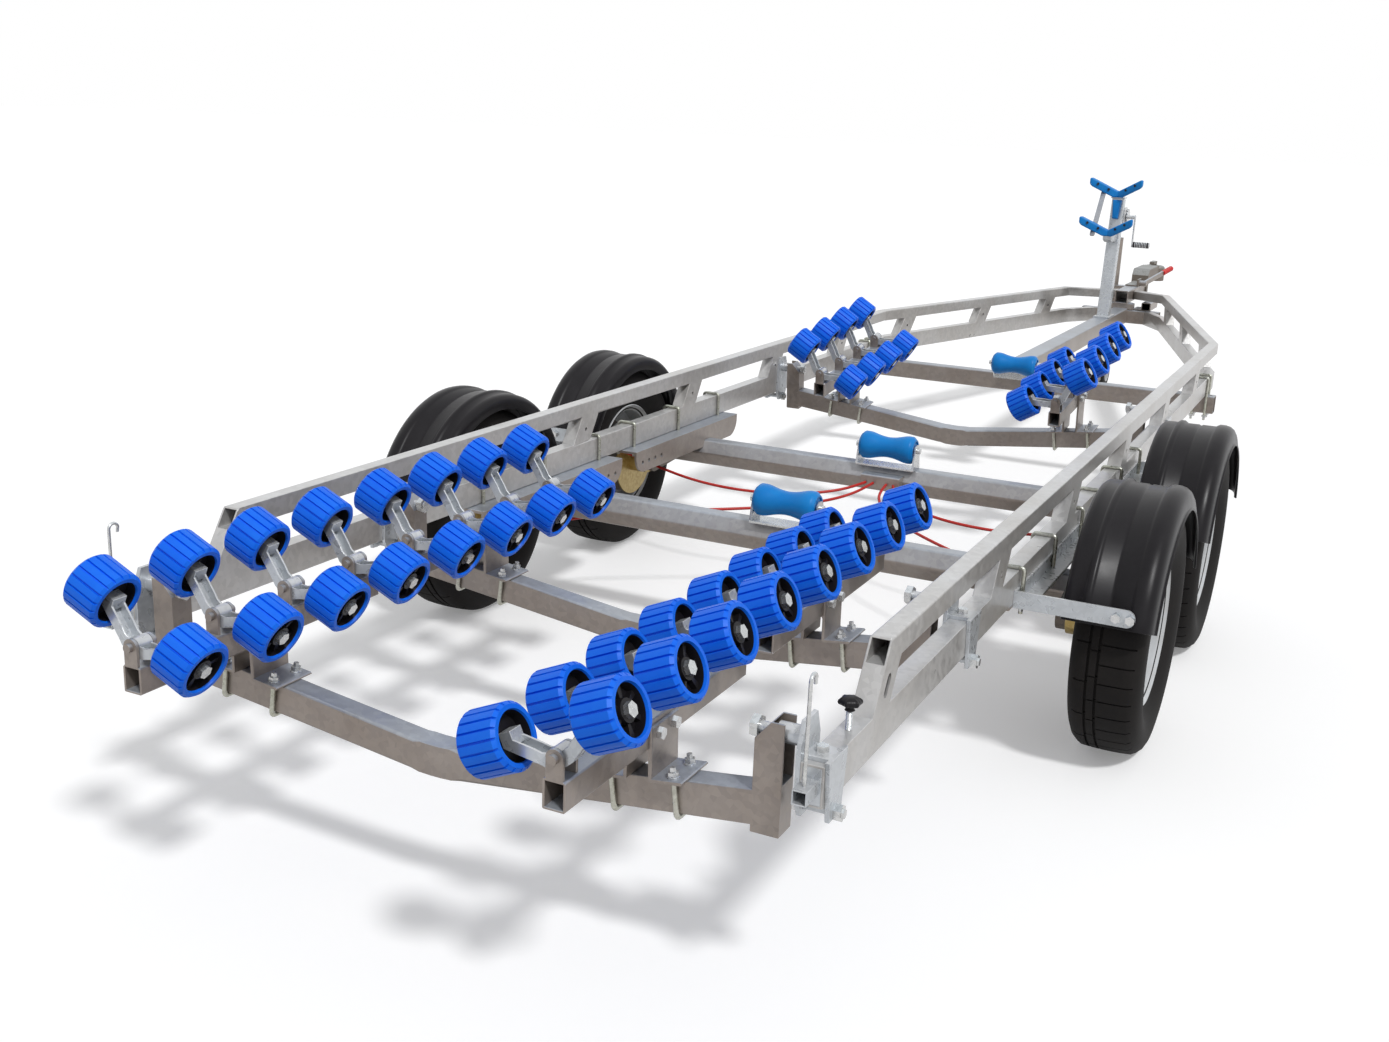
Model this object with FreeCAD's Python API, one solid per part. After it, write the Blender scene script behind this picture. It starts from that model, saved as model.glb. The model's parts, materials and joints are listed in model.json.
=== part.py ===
import FreeCAD, Part
import math
import os

os.makedirs("parts", exist_ok=True)

V = FreeCAD.Vector
UP = V(0, 0, 1)

# Frame and units
# X runs forward to the coupling, Y to the left, Z up; the ground is z = 0 and x = 0 lies
# halfway along the trailer. Lengths are in mm, angles in degrees. A reach is a distance
# forward or back from the point midway between the two axles.

# Stations that the rest follows
nose_reach = 5400.0
rear_cradle_reach = 1860.0
mid_cradle_reach = 1100.0
front_cradle_reach = 1285.0
cut_overrun = 2.0
running_gap = 1.0
slide_gap = 0.4
seat_gap = 0.3

# Roller rows that set the tail of the trailer
roller_lead = -2.0
roller_pitch = 188.0
roller_count = 4
roller_radius = 54.0
tail_reach = rear_cradle_reach - roller_lead + roller_pitch * (roller_count - 1) / 2 + roller_radius
tandem_x = (tail_reach - nose_reach) / 2
rear_cradle_x = tandem_x - rear_cradle_reach
mid_cradle_x = tandem_x - mid_cradle_reach
front_cradle_x = tandem_x + front_cradle_reach

# Side trusses: a deep lower box rail and a shallow upper one joined by leaning struts
rail_width = 40.0
rail_wall = 4.0
rail_y = 720.0
lower_rail_base = 416.0
lower_rail_height = 71.0
truss_gap = 73.0
upper_rail_height = 45.0
taper_start_reach = 2480.0
taper_end_reach = 4170.0
taper_end_y = 262.0
front_crossbar_reach = 4390.0
nose_leg_reach = 4560.0
nose_leg_drop = 30.0
strut_first_reach = 957.0
strut_pitch = 705.0
strut_count = 5
strut_length = 95.0
strut_lean = 46.0
strut_hole_radius = 6.0
taper_strut_shares = (0.066, 0.453, 0.831)
tail_strut_reach = 1684.0
tail_strut_length = 85.0
tail_slot_radius = 9.0
tail_slot_length = 26.0

# Cross-members, spine and drawbar
crossbar_depth = 60.0
mid_crossbar_reach = 2308.0
mid_crossbar_height = 70.0
crossbar_overhang = 35.0
lashing_hole_radius = 6.5
spine_width = 80.0
spine_wall = 5.0
drawbar_size = 70.0
drawbar_wall = 5.0
packer_height = 33.0
packer_overhang = 30.0
drawbar_tail_overhang = 8.0
side_tube_width = 50.0
side_tube_height = 45.0
side_tube_wall = 4.0
side_tube_gap = 72.0
side_tube_setback = 30.0
side_tube_length = 220.0
side_web_thickness = 8.0
side_web_length = 120.0

# Wheels
axle_spacing = 830.0
wheel_y = 945.0
tyre_radius = 298.0
tyre_width = 167.0
tyre_shoulder = 14.0
tyre_crown_inset = 30.0
tyre_belly = 52.0
tyre_thickness = 16.0
bead_radius = 165.0
flange_radius = 180.0
rim_width = 124.0
rim_thickness = 5.0
disc_thickness = 6.0
disc_offset = 12.0
disc_hub_radius = 88.0
disc_crown_radius = 108.0
disc_crown_height = 14.0
disc_edge_drop = 8.0
vent_count = 10
vent_circle_radius = 132.0
vent_radius = 11.0
hub_radius = 38.0
hub_cap_radius = 27.0
hub_cap_length = 40.0
hub_cap_round = 7.0
stud_circle = 112.0
stud_count = 5
stud_radius = 6.0
stud_nut_radius = 10.5
stud_nut_height = 12.0
stud_end_length = 18.0
drum_radius = 116.0
drum_width = 60.0
drum_face_gap = 31.0
drum_end_wall = 14.0

# Axles with their trailing arms
axle_flat = 84.0
axle_lead = 140.0
axle_z = 326.0
arm_radius_large = 50.0
arm_radius_small = 34.0
arm_thickness = 26.0
arm_drum_gap = 64.0
backplate_radius = 121.0
backplate_thickness = 5.0
backplate_gap = 3.0
backplate_boss = 8.0
stub_radius = 17.0
stub_end_gap = 6.0
bracket_half_length = 370.0
bracket_inset = 50.0
bracket_thickness = 8.0
bracket_web_drop = 63.0
bracket_hole_radius = 6.5
bracket_hole_pitch = 42.0
bracket_hole_count = 4
cable_anchor_length = 34.0
cable_anchor_width = 130.0
cable_anchor_height = 44.0

# Mudguards and their stays
guard_clearance = 47.0
guard_thickness = 5.0
guard_width = 206.0
guard_end_angle = 17.0
guard_lip = 16.0
guard_ridge_width = 22.0
guard_ridge_height = 7.0
guard_ridge_offset = 48.0
stay_height = 40.0
stay_drop = 8.0
stay_thickness = 6.0
stay_end_inset = 43.0

# Swing cradles
cradle_depth = 50.0
cradle_height = 60.0
cradle_wall = 4.0
cradle_middle_z = 307.0
cradle_slope_share = 0.122
cradle_bend_radius = 420.0
post_y = 640.0
post_width = 50.0
post_top_z = 534.0
post_foot_drop = 16.0
post_bevel_width = 27.0
post_bevel_height = 32.0
post_mouth_z = 430.0
pivot_z = 512.0
pivot_pin_radius = 10.0
pivot_boss_radius = 17.0
pivot_nut_radius = 16.0
pivot_nut_height = 12.0
front_cradle_lift = 20.0

# Hangers that saddle the lower rail and carry the cradle pivots
hanger_length = 80.0
hanger_foot_length = 50.0
hanger_thickness = 8.0
hanger_foot_z = 388.0
hanger_top_z = 550.0
hanger_cap_length = 50.0
hanger_bolt_z = 398.0
hanger_bolt_radius = 8.0
hanger_bolt_head_radius = 12.0
hanger_bolt_head_height = 10.0

# Roller beams on their clamp angles
beam_length = 636.0
beam_lead = 12.0
beam_width = 40.0
beam_height = 50.0
beam_wall = 4.0
beam_y = 421.0
beam_base = 447.0
front_beam_lift = 60.0
front_nose_up = 6.0
clamp_length = 96.0
clamp_thickness = 6.0
clamp_flange = 62.0
clamp_leg_inset = 10.0
clamp_bolt_radius = 8.0
clamp_bolt_height = 8.0
clamp_bolt_pitch = 52.0

# Roller banks
bank_pivot_rise = 34.0
bank_tilt = 24.0
front_bank_tilt = 32.0
bank_pin_radius = 8.0
bank_pin_overhang = 8.0
ear_width = 30.0
ear_thickness = 6.0
ear_crown = 15.0
roller_width = 76.0
roller_sides = 20
roller_half_span = 106.0
roller_drop = 41.0
roller_chamfer = 7.0
roller_dish_radius = 38.0
roller_dish_depth = 14.0
roller_inner_dish_depth = 24.0
stub_pin_radius = 11.0
stub_pin_overhang = 6.0
arm_channel_width = 30.0
arm_channel_depth = 24.0
arm_channel_wall = 4.0
arm_tip_gap = 4.0
arm_heel_half = 10.0
arm_heel_depth = 17.0
arm_bow_half = 24.0
arm_bow_depth = 13.0
arm_leg_half = 36.0
arm_leg_depth = 4.0

# Keel rollers
keel_roller_length = 180.0
keel_end_radius = 44.0
keel_waist_radius = 30.0
keel_chamfer = 10.0
keel_pin_radius = 9.0
keel_pin_overhang = 10.0
keel_axle_rise = 104.0
keel_axle_offset = 18.0
keel_front_reach = 2105.0
keel_front_z = 485.0
keel_cheek_thickness = 6.0
keel_cheek_foot = 34.0
keel_cheek_head = 20.0
keel_body_share = 0.72
keel_waist_share = 0.34

# Winch post with its bow blocks
winch_post_reach = 3900.0
post_section = 60.0
post_wall = 4.0
post_lean = 6.0
winch_post_height = 600.0
foot_plate_rear = 70.0
foot_plate_front = 90.0
foot_plate_thickness = 8.0
cap_overhang = 4.0
cap_thickness = 6.0
bow_arm_width = 40.0
bow_arm_height = 32.0
low_block_reach = 3774.0
low_block_z = 926.0
top_block_setback = 27.717
block_half_width = 129.0
block_rise = 68.0
block_sweep = 90.0
block_depth = 44.0
block_thickness = 44.0
block_core_half = 24.0
block_core_height = 20.0
pad_height = 100.0
pad_thickness = 26.0
pad_half_width = 25.0

# Winch
winch_z = 1000.0
winch_gap = 14.0
drum_core_radius = 26.0
drum_core_width = 58.0
drum_flange_radius = 52.0
drum_flange_thickness = 4.0
winch_plate_thickness = 4.0
winch_plate_drop = 66.0
winch_plate_rise = 40.0
winch_plate_nose = 24.0
winch_plate_lap = 6.0
winch_shaft_radius = 10.0
winch_shaft_overhang = 40.0
crank_length = 150.0
crank_width = 24.0
crank_thickness = 6.0
crank_grip_length = 90.0
crank_grip_radius = 14.0

# Overrun coupling and handbrake
nose_radius = 62.0
ball_radius = 25.4
coupling_length = 185.0
coupling_half_width = 36.0
coupling_crown = 26.0
socket_depth = 33.0
coupling_grip_length = 100.0
coupling_grip_height = 16.0
coupling_grip_gap = 14.0
shaft_gap = 25.0
shaft_radius = 25.0
shaft_rise = 39.0
shaft_socket = 30.0
housing_length = 310.0
housing_half_width = 46.0
housing_height = 78.0
housing_chamfer = 18.0
housing_lap = 50.0
housing_cheek = 8.0
housing_cheek_drop = 60.0
handbrake_reach = 4676.0
handbrake_out = 60.0
handbrake_length = 340.0
handbrake_rise_angle = 11.5
handbrake_out_angle = 15.5
handbrake_width = 26.0
handbrake_thickness = 12.0
handbrake_wall = 3.0
handbrake_boss_radius = 16.0
handbrake_bracket_thickness = 8.0
handbrake_bracket_height = 40.0
handbrake_bracket_length = 90.0

# Jockey wheel
jockey_reach = 4690.0
jockey_y = 108.0
jockey_tube_radius = 24.0
jockey_bore_radius = 21.6
jockey_stem_radius = 21.0
jockey_tube_base = 430.0
jockey_tube_length = 420.0
jockey_tube_roof = 6.0
jockey_stem_lap = 200.0
jockey_clamp_radius = 32.0
jockey_clamp_inset = 5.0
jockey_crank_rise = 40.0
jockey_crank_radius = 8.0
jockey_crank_reach = 104.0
jockey_crank_thickness = 8.0
jockey_grip_radius = 10.0
jockey_grip_length = 56.0
jockey_wheel_radius = 100.0
jockey_wheel_width = 54.0
jockey_tread_thickness = 38.0
jockey_disc_half = 8.0
jockey_hub_radius = 20.0
jockey_rim_thickness = 8.0
jockey_trail = 42.0
jockey_axle_radius = 8.0
fork_gap = 4.0
fork_thickness = 5.0
fork_crown_gap = 34.0
fork_half_length = 34.0
fork_foot_half = 16.0
fork_plate_thickness = 7.5

# Light-board arms in the tails of the lower rails
light_arm_size = 25.0
light_arm_wall = 2.5
light_arm_overhang = 50.0
light_arm_lap = 215.0
light_collar_depth = 12.0
hook_radius = 3.5
hook_inset = 20.0
hook_top_z = 645.0
hook_length = 24.0
hook_tip_drop = 16.0
knob_reach = 1745.0
knob_stud_radius = 6.0
knob_stud_rise = 34.0
knob_radius = 20.0
knob_hollow_circle = 24.0
knob_height = 24.0
knob_lobes = 6

# Brake cables
cable_radius = 4.5

# Places worked out from the sizes above
lower_rail_top = lower_rail_base + lower_rail_height
lower_rail_axis_z = lower_rail_base + lower_rail_height / 2
upper_rail_base = lower_rail_top + truss_gap
upper_rail_top = upper_rail_base + upper_rail_height
rail_inner_y = rail_y - rail_width / 2
rail_outer_y = rail_y + rail_width / 2
lower_rail_tail_x = rear_cradle_x - hanger_length / 2
tail_strut_x = tandem_x - tail_strut_reach
strut_slope = strut_lean / truss_gap
upper_rail_tail_x = tail_strut_x + strut_lean
taper_start_x = tandem_x + taper_start_reach
taper_end_x = tandem_x + taper_end_reach
front_crossbar_x = tandem_x + front_crossbar_reach
front_crossbar_tail_x = front_crossbar_x - crossbar_depth / 2
mid_crossbar_x = tandem_x + mid_crossbar_reach
keel_front_x = tandem_x + keel_front_reach
keel_end_x = keel_front_x + keel_end_radius + running_gap
spine_tail_x = keel_end_x + keel_cheek_thickness
spine_top = lower_rail_base + spine_width
wheel_rear_x = tandem_x - axle_spacing / 2
wheel_front_x = tandem_x + axle_spacing / 2
axle_rear_x = wheel_rear_x + axle_lead
axle_front_x = wheel_front_x + axle_lead
disc_face_y = wheel_y + disc_offset
drum_outer_y = disc_face_y - drum_face_gap
drum_inner_y = drum_outer_y - drum_width
axle_half_length = drum_inner_y - arm_drum_gap - arm_thickness
guard_radius = tyre_radius + guard_clearance
drawbar_base = lower_rail_top + packer_height
drawbar_top = drawbar_base + drawbar_size
drawbar_axis_z = drawbar_base + drawbar_size / 2
drawbar_tail_x = front_crossbar_tail_x - drawbar_tail_overhang
coupling_nose_x = tandem_x + nose_reach
coupling_tail_x = coupling_nose_x - coupling_length
ball_x = coupling_nose_x - nose_radius
housing_nose_x = coupling_tail_x - shaft_gap
housing_tail_x = housing_nose_x - housing_length
drawbar_nose_x = housing_tail_x + housing_lap
shaft_z = drawbar_top + shaft_rise


def block(x0, x1, y0, y1, z0, z1):
    return Part.makeBox(x1 - x0, y1 - y0, z1 - z0, V(x0, y0, z0))


def mirrored(shape):
    return shape.mirror(V(0, 0, 0), V(0, 1, 0))


def pair(shape):
    return Part.makeCompound([shape, mirrored(shape)])


def fused(shapes):
    first = shapes[0]
    return first.multiFuse(shapes[1:]).removeSplitter() if len(shapes) > 1 else first


def rod(start, end, radius):
    run = end - start
    return Part.makeCylinder(radius, run.Length, start, run)


def prism(points, run):
    wire = Part.makePolygon(points + [points[0]])
    return Part.Face(wire).extrude(run)


def revolved(points, centre):
    # Closed outline turned about the line through centre along Y.
    wire = Part.makePolygon(points + [points[0]])
    return Part.Face(wire).revolve(centre, V(0, 1, 0), 360)


def rectangle(centre, along, across, half_along, half_across):
    return [centre - along * half_along - across * half_across,
            centre + along * half_along - across * half_across,
            centre + along * half_along + across * half_across,
            centre - along * half_along + across * half_across]


def box_tube(start, end, up, width, height, wall):
    # Straight hollow tube from start to end; up gives the direction of its height.
    run = end - start
    side = run.cross(up).normalize()
    high = side.cross(run).normalize()
    outer = rectangle(start, side, high, width / 2, height / 2)
    inner = rectangle(start, side, high, width / 2 - wall, height / 2 - wall)
    return prism(outer, run).cut(prism(inner, run))


def swung(shape, degrees, x, z):
    # Copy turned about the line through (x, z) along Y; positive lifts the front.
    copy = shape.copy()
    copy.rotate(V(x, 0, z), V(0, 1, 0), -degrees)
    return copy


# Side trusses
# Each straight truss ends at the bend where the taper starts; the nose truss carries on
# from there to the front cross-member and the side of the drawbar.
nose_leg_x = tandem_x + nose_leg_reach
nose_leg_y = drawbar_size / 2
nose_slope = (nose_leg_y - taper_end_y) / (nose_leg_x - taper_end_x)
lower_nose_y = taper_end_y + nose_slope * (front_crossbar_tail_x - taper_end_x)
taper_slope = (taper_end_y - rail_y) / (taper_end_x - taper_start_x)
taper_length = math.hypot(taper_end_x - taper_start_x, taper_end_y - rail_y)


def offset_path(path, shift, first_slope):
    # A plan path moved sideways, mitred at its bends; its first end is mitred to a
    # neighbour of the given slope and its last end is cut square across X.
    headings = [math.atan(first_slope)]
    for (ax, ay), (bx, by) in zip(path, path[1:]):
        headings.append(math.atan2(by - ay, bx - ax))
    moved = []
    for k, (x, y) in enumerate(path[:-1]):
        half_turn = (headings[k + 1] - headings[k]) / 2
        middle = (headings[k + 1] + headings[k]) / 2
        reach = shift / math.cos(half_turn)
        moved.append((x - reach * math.sin(middle), y + reach * math.cos(middle)))
    x, y = path[-1]
    moved.append((x, y + shift / math.cos(headings[-1])))
    return moved


def slab(path, first_slope, half, low, high):
    left = offset_path(path, half, first_slope)
    right = offset_path(path, -half, first_slope)
    points = [V(x, y, low) for x, y in left + right[::-1]]
    return prism(points, V(0, 0, high - low))


def plan_rail(path, first_slope, base, height):
    outer = slab(path, first_slope, rail_width / 2, base, base + height)
    inner = slab(path, first_slope, rail_width / 2 - rail_wall, base + rail_wall, base + height - rail_wall)
    return outer.cut(inner)


def strut(x, y, slope, length, hole):
    # Leaning box strut standing on the lower rail with its rear foot edge at (x, y).
    along = V(1, slope, 0).normalize()
    across = V(-along.y, along.x, 0)
    foot = V(x, y, lower_rail_top) + along * (length / 2)
    run = along * strut_lean + UP * truss_gap
    outer = rectangle(foot, along, across, length / 2, rail_width / 2)
    inner = rectangle(foot, along, across, length / 2 - rail_wall, rail_width / 2 - rail_wall)
    body = prism(outer, run).cut(prism(inner, run))
    middle = foot + run * 0.5
    return body.cut(hole(middle, across * rail_width, run))


def round_hole(middle, across, run):
    return rod(middle - across, middle + across, strut_hole_radius)


def slot_hole(middle, across, run):
    shift = V(run.x, run.y, run.z).normalize() * (tail_slot_length / 2)
    ends = [rod(middle - across + shift * s, middle + across + shift * s, tail_slot_radius) for s in (-1, 1)]
    side = V(-run.z, 0, run.x).normalize()
    web = prism(rectangle(middle - across, shift * (2 / tail_slot_length), side,
                          tail_slot_length / 2, tail_slot_radius), across * 2)
    return fused(ends + [web])


def straight_truss():
    # The front ends are mitred to the taper and the upper rail's tail follows the tail strut.
    mitre = rail_width * math.tan(math.atan(taper_slope) / 2)
    front_x = taper_start_x - mitre
    lower = plan_rail([(lower_rail_tail_x, rail_y), (front_x, rail_y)], 0, lower_rail_base, lower_rail_height)
    upper = plan_rail([(upper_rail_tail_x, rail_y), (front_x, rail_y)], 0, upper_rail_base, upper_rail_height)
    beyond = prism([V(taper_start_x + mitre, rail_y - rail_width, 0),
                    V(taper_start_x + rail_width, rail_y - rail_width, 0),
                    V(taper_start_x + rail_width, rail_y + rail_width, 0),
                    V(front_x, rail_y + rail_width, 0)],
                   UP * (upper_rail_top + cut_overrun))
    slant = upper_rail_height * strut_slope
    side_y = rail_inner_y - cut_overrun
    tail_cut = prism([V(upper_rail_tail_x - cut_overrun, side_y, upper_rail_base),
                      V(upper_rail_tail_x, side_y, upper_rail_base),
                      V(upper_rail_tail_x + slant, side_y, upper_rail_top),
                      V(upper_rail_tail_x - cut_overrun, side_y, upper_rail_top)],
                     V(0, rail_width + 2 * cut_overrun, 0))
    pieces = [lower, upper.cut(tail_cut), strut(tail_strut_x, rail_y, 0, tail_strut_length, slot_hole)]
    for k in range(strut_count):
        pieces.append(strut(tandem_x - strut_first_reach + k * strut_pitch, rail_y, 0, strut_length,
                            round_hole))
    return fused(pieces).cut(beyond)


def nose_truss():
    start, bend = (taper_start_x, rail_y), (taper_end_x, taper_end_y)
    lower = plan_rail([start, bend, (front_crossbar_tail_x, lower_nose_y)], 0, lower_rail_base,
                      lower_rail_height)

    def upper(half, low, high):
        # Level as far as the bend, then lofted down to the side of the drawbar.
        path = [start, bend, (nose_leg_x, nose_leg_y)]
        left, right = offset_path(path, half, 0), offset_path(path, -half, 0)
        level = prism([V(x, y, low) for x, y in left[:2] + right[1::-1]], UP * (high - low))
        sections = []
        for k in (1, 2):
            drop = 0 if k == 1 else nose_leg_drop
            corners = []
            for x, y in (left[k], right[k]):
                reach = (nose_leg_y - y) / nose_slope if k == 2 else 0
                corners.append(V(x + reach, y + reach * nose_slope, low - drop))
            corners += [corners[1] + UP * (high - low), corners[0] + UP * (high - low)]
            sections.append(Part.makePolygon(corners + [corners[0]]))
        return level.fuse(Part.makeLoft(sections, True, True))

    shell = upper(rail_width / 2, upper_rail_base, upper_rail_top)
    hollow = upper(rail_width / 2 - rail_wall, upper_rail_base + rail_wall, upper_rail_top - rail_wall)
    pieces = [lower, shell.cut(hollow)]
    for share in taper_strut_shares:
        x = taper_start_x + (taper_end_x - taper_start_x) * share
        y = rail_y + (taper_end_y - rail_y) * share
        pieces.append(strut(x, y, taper_slope, strut_length, round_hole))
    return fused(pieces)


nodes = {}
nodes["side_trusses"] = pair(straight_truss())
nodes["nose_trusses"] = pair(nose_truss())

# Cross-members: a straight one hung below the rails and a short one closing the front
front_bar_half = lower_nose_y + rail_width / 2 + crossbar_overhang
front_bar = box_tube(V(front_crossbar_x, -front_bar_half, lower_rail_axis_z),
                     V(front_crossbar_x, front_bar_half, lower_rail_axis_z), UP,
                     crossbar_depth, lower_rail_height, rail_wall)
mid_bar_half = rail_outer_y + crossbar_overhang
mid_bar_z = lower_rail_base - mid_crossbar_height / 2
mid_bar = box_tube(V(mid_crossbar_x, -mid_bar_half, mid_bar_z), V(mid_crossbar_x, mid_bar_half, mid_bar_z),
                   UP,
                   crossbar_depth, mid_crossbar_height, rail_wall)
lashing_y = rail_outer_y + crossbar_overhang / 2
for sign in (-1, 1):
    mid_bar = mid_bar.cut(rod(V(mid_crossbar_x, sign * lashing_y,
                                lower_rail_base - mid_crossbar_height - cut_overrun),
                              V(mid_crossbar_x, sign * lashing_y, lower_rail_base + cut_overrun),
                              lashing_hole_radius))
nodes["crossbars"] = Part.makeCompound([front_bar, mid_bar])

# Spine on the centre line, from the front keel roller's seat to the front cross-member
spine_z = lower_rail_base + spine_width / 2
nodes["spine"] = box_tube(V(spine_tail_x, 0, spine_z), V(front_crossbar_tail_x, 0, spine_z), UP,
                          spine_width, spine_width, spine_wall)

# Drawbar on a packer over the front cross-member, with a short tube beside it
drawbar = box_tube(V(drawbar_tail_x, 0, drawbar_axis_z), V(drawbar_nose_x, 0, drawbar_axis_z), UP,
                   drawbar_size, drawbar_size, drawbar_wall)
packer_half = drawbar_size / 2 + packer_overhang
packer = block(front_crossbar_tail_x, front_crossbar_x + crossbar_depth / 2, -packer_half, packer_half,
               lower_rail_top, drawbar_base)
side_tube_x = drawbar_tail_x + side_tube_setback
side_tube_y = -drawbar_size / 2 - side_tube_gap - side_tube_width / 2
side_tube_z = lower_rail_top + side_tube_height / 2
side_tube = box_tube(V(side_tube_x, side_tube_y, side_tube_z),
                     V(side_tube_x + side_tube_length, side_tube_y, side_tube_z), UP,
                     side_tube_width, side_tube_height, side_tube_wall)
side_web = block(side_tube_x, side_tube_x + side_web_length, side_tube_y + side_tube_width / 2, -packer_half,
                 lower_rail_top, lower_rail_top + side_web_thickness)
nodes["drawbar"] = fused([drawbar, packer, side_tube, side_web])


def hexagon(x, z, flat, y):
    # Flat-topped hexagon in the x-z plane.
    radius = flat / 2 / math.cos(math.pi / 6)
    return [V(x + radius * math.cos(math.pi / 3 * k), y, z + radius * math.sin(math.pi / 3 * k))
            for k in range(6)]


def axle_tube(x):
    return prism(hexagon(x, axle_z, axle_flat, -axle_half_length), V(0, 2 * axle_half_length, 0))


axle_corner = axle_flat / 2 / math.cos(math.pi / 6)
anchor_x = axle_front_x - axle_corner - cable_anchor_length
anchor = block(anchor_x, axle_front_x, -cable_anchor_width / 2, cable_anchor_width / 2,
               axle_z - cable_anchor_height / 2, axle_z + cable_anchor_height / 2)
nodes["axle_tubes"] = Part.makeCompound([axle_tube(axle_rear_x), fused([axle_tube(axle_front_x), anchor])])


def axle_bracket(wheel_x, facing):
    # Angle under the lower rail: a flange against the rail and a round-ended web that
    # the axle tube passes through, with a row of spare holes at its facing end.
    tail, nose = wheel_x - bracket_half_length, wheel_x + bracket_half_length
    inner_y = rail_inner_y - bracket_inset
    flange = block(tail, nose, inner_y, rail_outer_y, lower_rail_base - bracket_thickness, lower_rail_base)
    web = block(tail, nose, inner_y, inner_y + bracket_thickness,
                lower_rail_base - bracket_thickness - bracket_web_drop, lower_rail_base)
    round_radius = bracket_web_drop - bracket_thickness
    lower_edges = [e for e in web.Edges
                   if abs(e.Vertexes[0].Z - e.Vertexes[1].Z) < slide_gap
                   and e.BoundBox.ZMax < lower_rail_base - bracket_thickness - bracket_web_drop / 2
                   and e.BoundBox.XLength < slide_gap]
    web = web.makeFillet(round_radius, lower_edges)
    shape = fused([flange, web]).cut(axle_tube(wheel_x + axle_lead))
    hole_z = lower_rail_base - bracket_thickness - bracket_web_drop / 2
    for k in range(bracket_hole_count):
        x = wheel_x + facing * (bracket_half_length - bracket_hole_pitch * (k + 1))
        shape = shape.cut(rod(V(x, inner_y - cut_overrun, hole_z),
                              V(x, inner_y + bracket_thickness + cut_overrun, hole_z), bracket_hole_radius))
    return shape


brackets = [axle_bracket(wheel_rear_x, 1), axle_bracket(wheel_front_x, -1)]
nodes["axle_brackets"] = Part.makeCompound(brackets + [mirrored(b) for b in brackets])


def trailing_arm(wheel_x):
    # Forged arm outside the axle tube's end, reaching back to the stub axle.
    axle_x = wheel_x + axle_lead
    start_y, end_y = axle_half_length, axle_half_length + arm_thickness
    big = rod(V(axle_x, start_y, axle_z), V(axle_x, end_y, axle_z), arm_radius_large)
    small = rod(V(wheel_x, start_y, tyre_radius), V(wheel_x, end_y, tyre_radius), arm_radius_small)
    run = V(axle_x - wheel_x, 0, axle_z - tyre_radius)
    normal = V(-run.z, 0, run.x).normalize()
    web = prism([V(wheel_x, start_y, tyre_radius) + normal * arm_radius_small,
                 V(axle_x, start_y, axle_z) + normal * arm_radius_large,
                 V(axle_x, start_y, axle_z) - normal * arm_radius_large,
                 V(wheel_x, start_y, tyre_radius) - normal * arm_radius_small], V(0, arm_thickness, 0))
    stub = rod(V(wheel_x, end_y, tyre_radius),
               V(wheel_x, drum_outer_y - drum_end_wall - stub_end_gap, tyre_radius), stub_radius)
    return fused([big, small, web, stub])


def backplate(wheel_x):
    outer_y = drum_inner_y - backplate_gap
    plate = rod(V(wheel_x, outer_y - backplate_thickness, tyre_radius), V(wheel_x, outer_y, tyre_radius),
                backplate_radius)
    boss = rod(V(wheel_x, axle_half_length + arm_thickness, tyre_radius), V(wheel_x, outer_y, tyre_radius),
               arm_radius_small + backplate_boss)
    core = rod(V(wheel_x, axle_half_length, tyre_radius), V(wheel_x, drum_outer_y, tyre_radius), stub_radius)
    return fused([plate, boss]).cut(core)


arms = [trailing_arm(x) for x in (wheel_rear_x, wheel_front_x)]
nodes["trailing_arms"] = Part.makeCompound(arms + [mirrored(a) for a in arms])
plates = [backplate(x) for x in (wheel_rear_x, wheel_front_x)]
nodes["brake_backplates"] = Part.makeCompound(plates + [mirrored(p) for p in plates])


def turned(profile, x):
    # Outline of (radius, y) pairs turned about the wheel's own axle line.
    return revolved([V(x, y, tyre_radius + r) for r, y in profile], V(x, 0, tyre_radius))


def tyre(x):
    half = tyre_width / 2
    seat = rim_width / 2 - rim_thickness
    side = (tyre_shoulder + tyre_belly) / 2
    crown = tyre_radius - tyre_thickness
    outline = [(bead_radius, seat), (flange_radius, seat), (tyre_radius - tyre_belly - side,
                                                            half - tyre_shoulder / 2),
               (tyre_radius - tyre_belly, half), (tyre_radius - tyre_shoulder, half - tyre_shoulder),
               (tyre_radius, half - tyre_crown_inset)]
    hollow = [(crown, half - tyre_crown_inset - tyre_shoulder),
              (crown - tyre_thickness, half - tyre_thickness),
              (bead_radius, seat - tyre_thickness)]
    profile = [(r, wheel_y - y) for r, y in outline] + [(r, wheel_y + y) for r, y in outline[::-1]]
    profile += [(r, wheel_y + y) for r, y in hollow[::-1]] + [(r, wheel_y - y) for r, y in hollow]
    return turned(profile, x)


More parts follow.
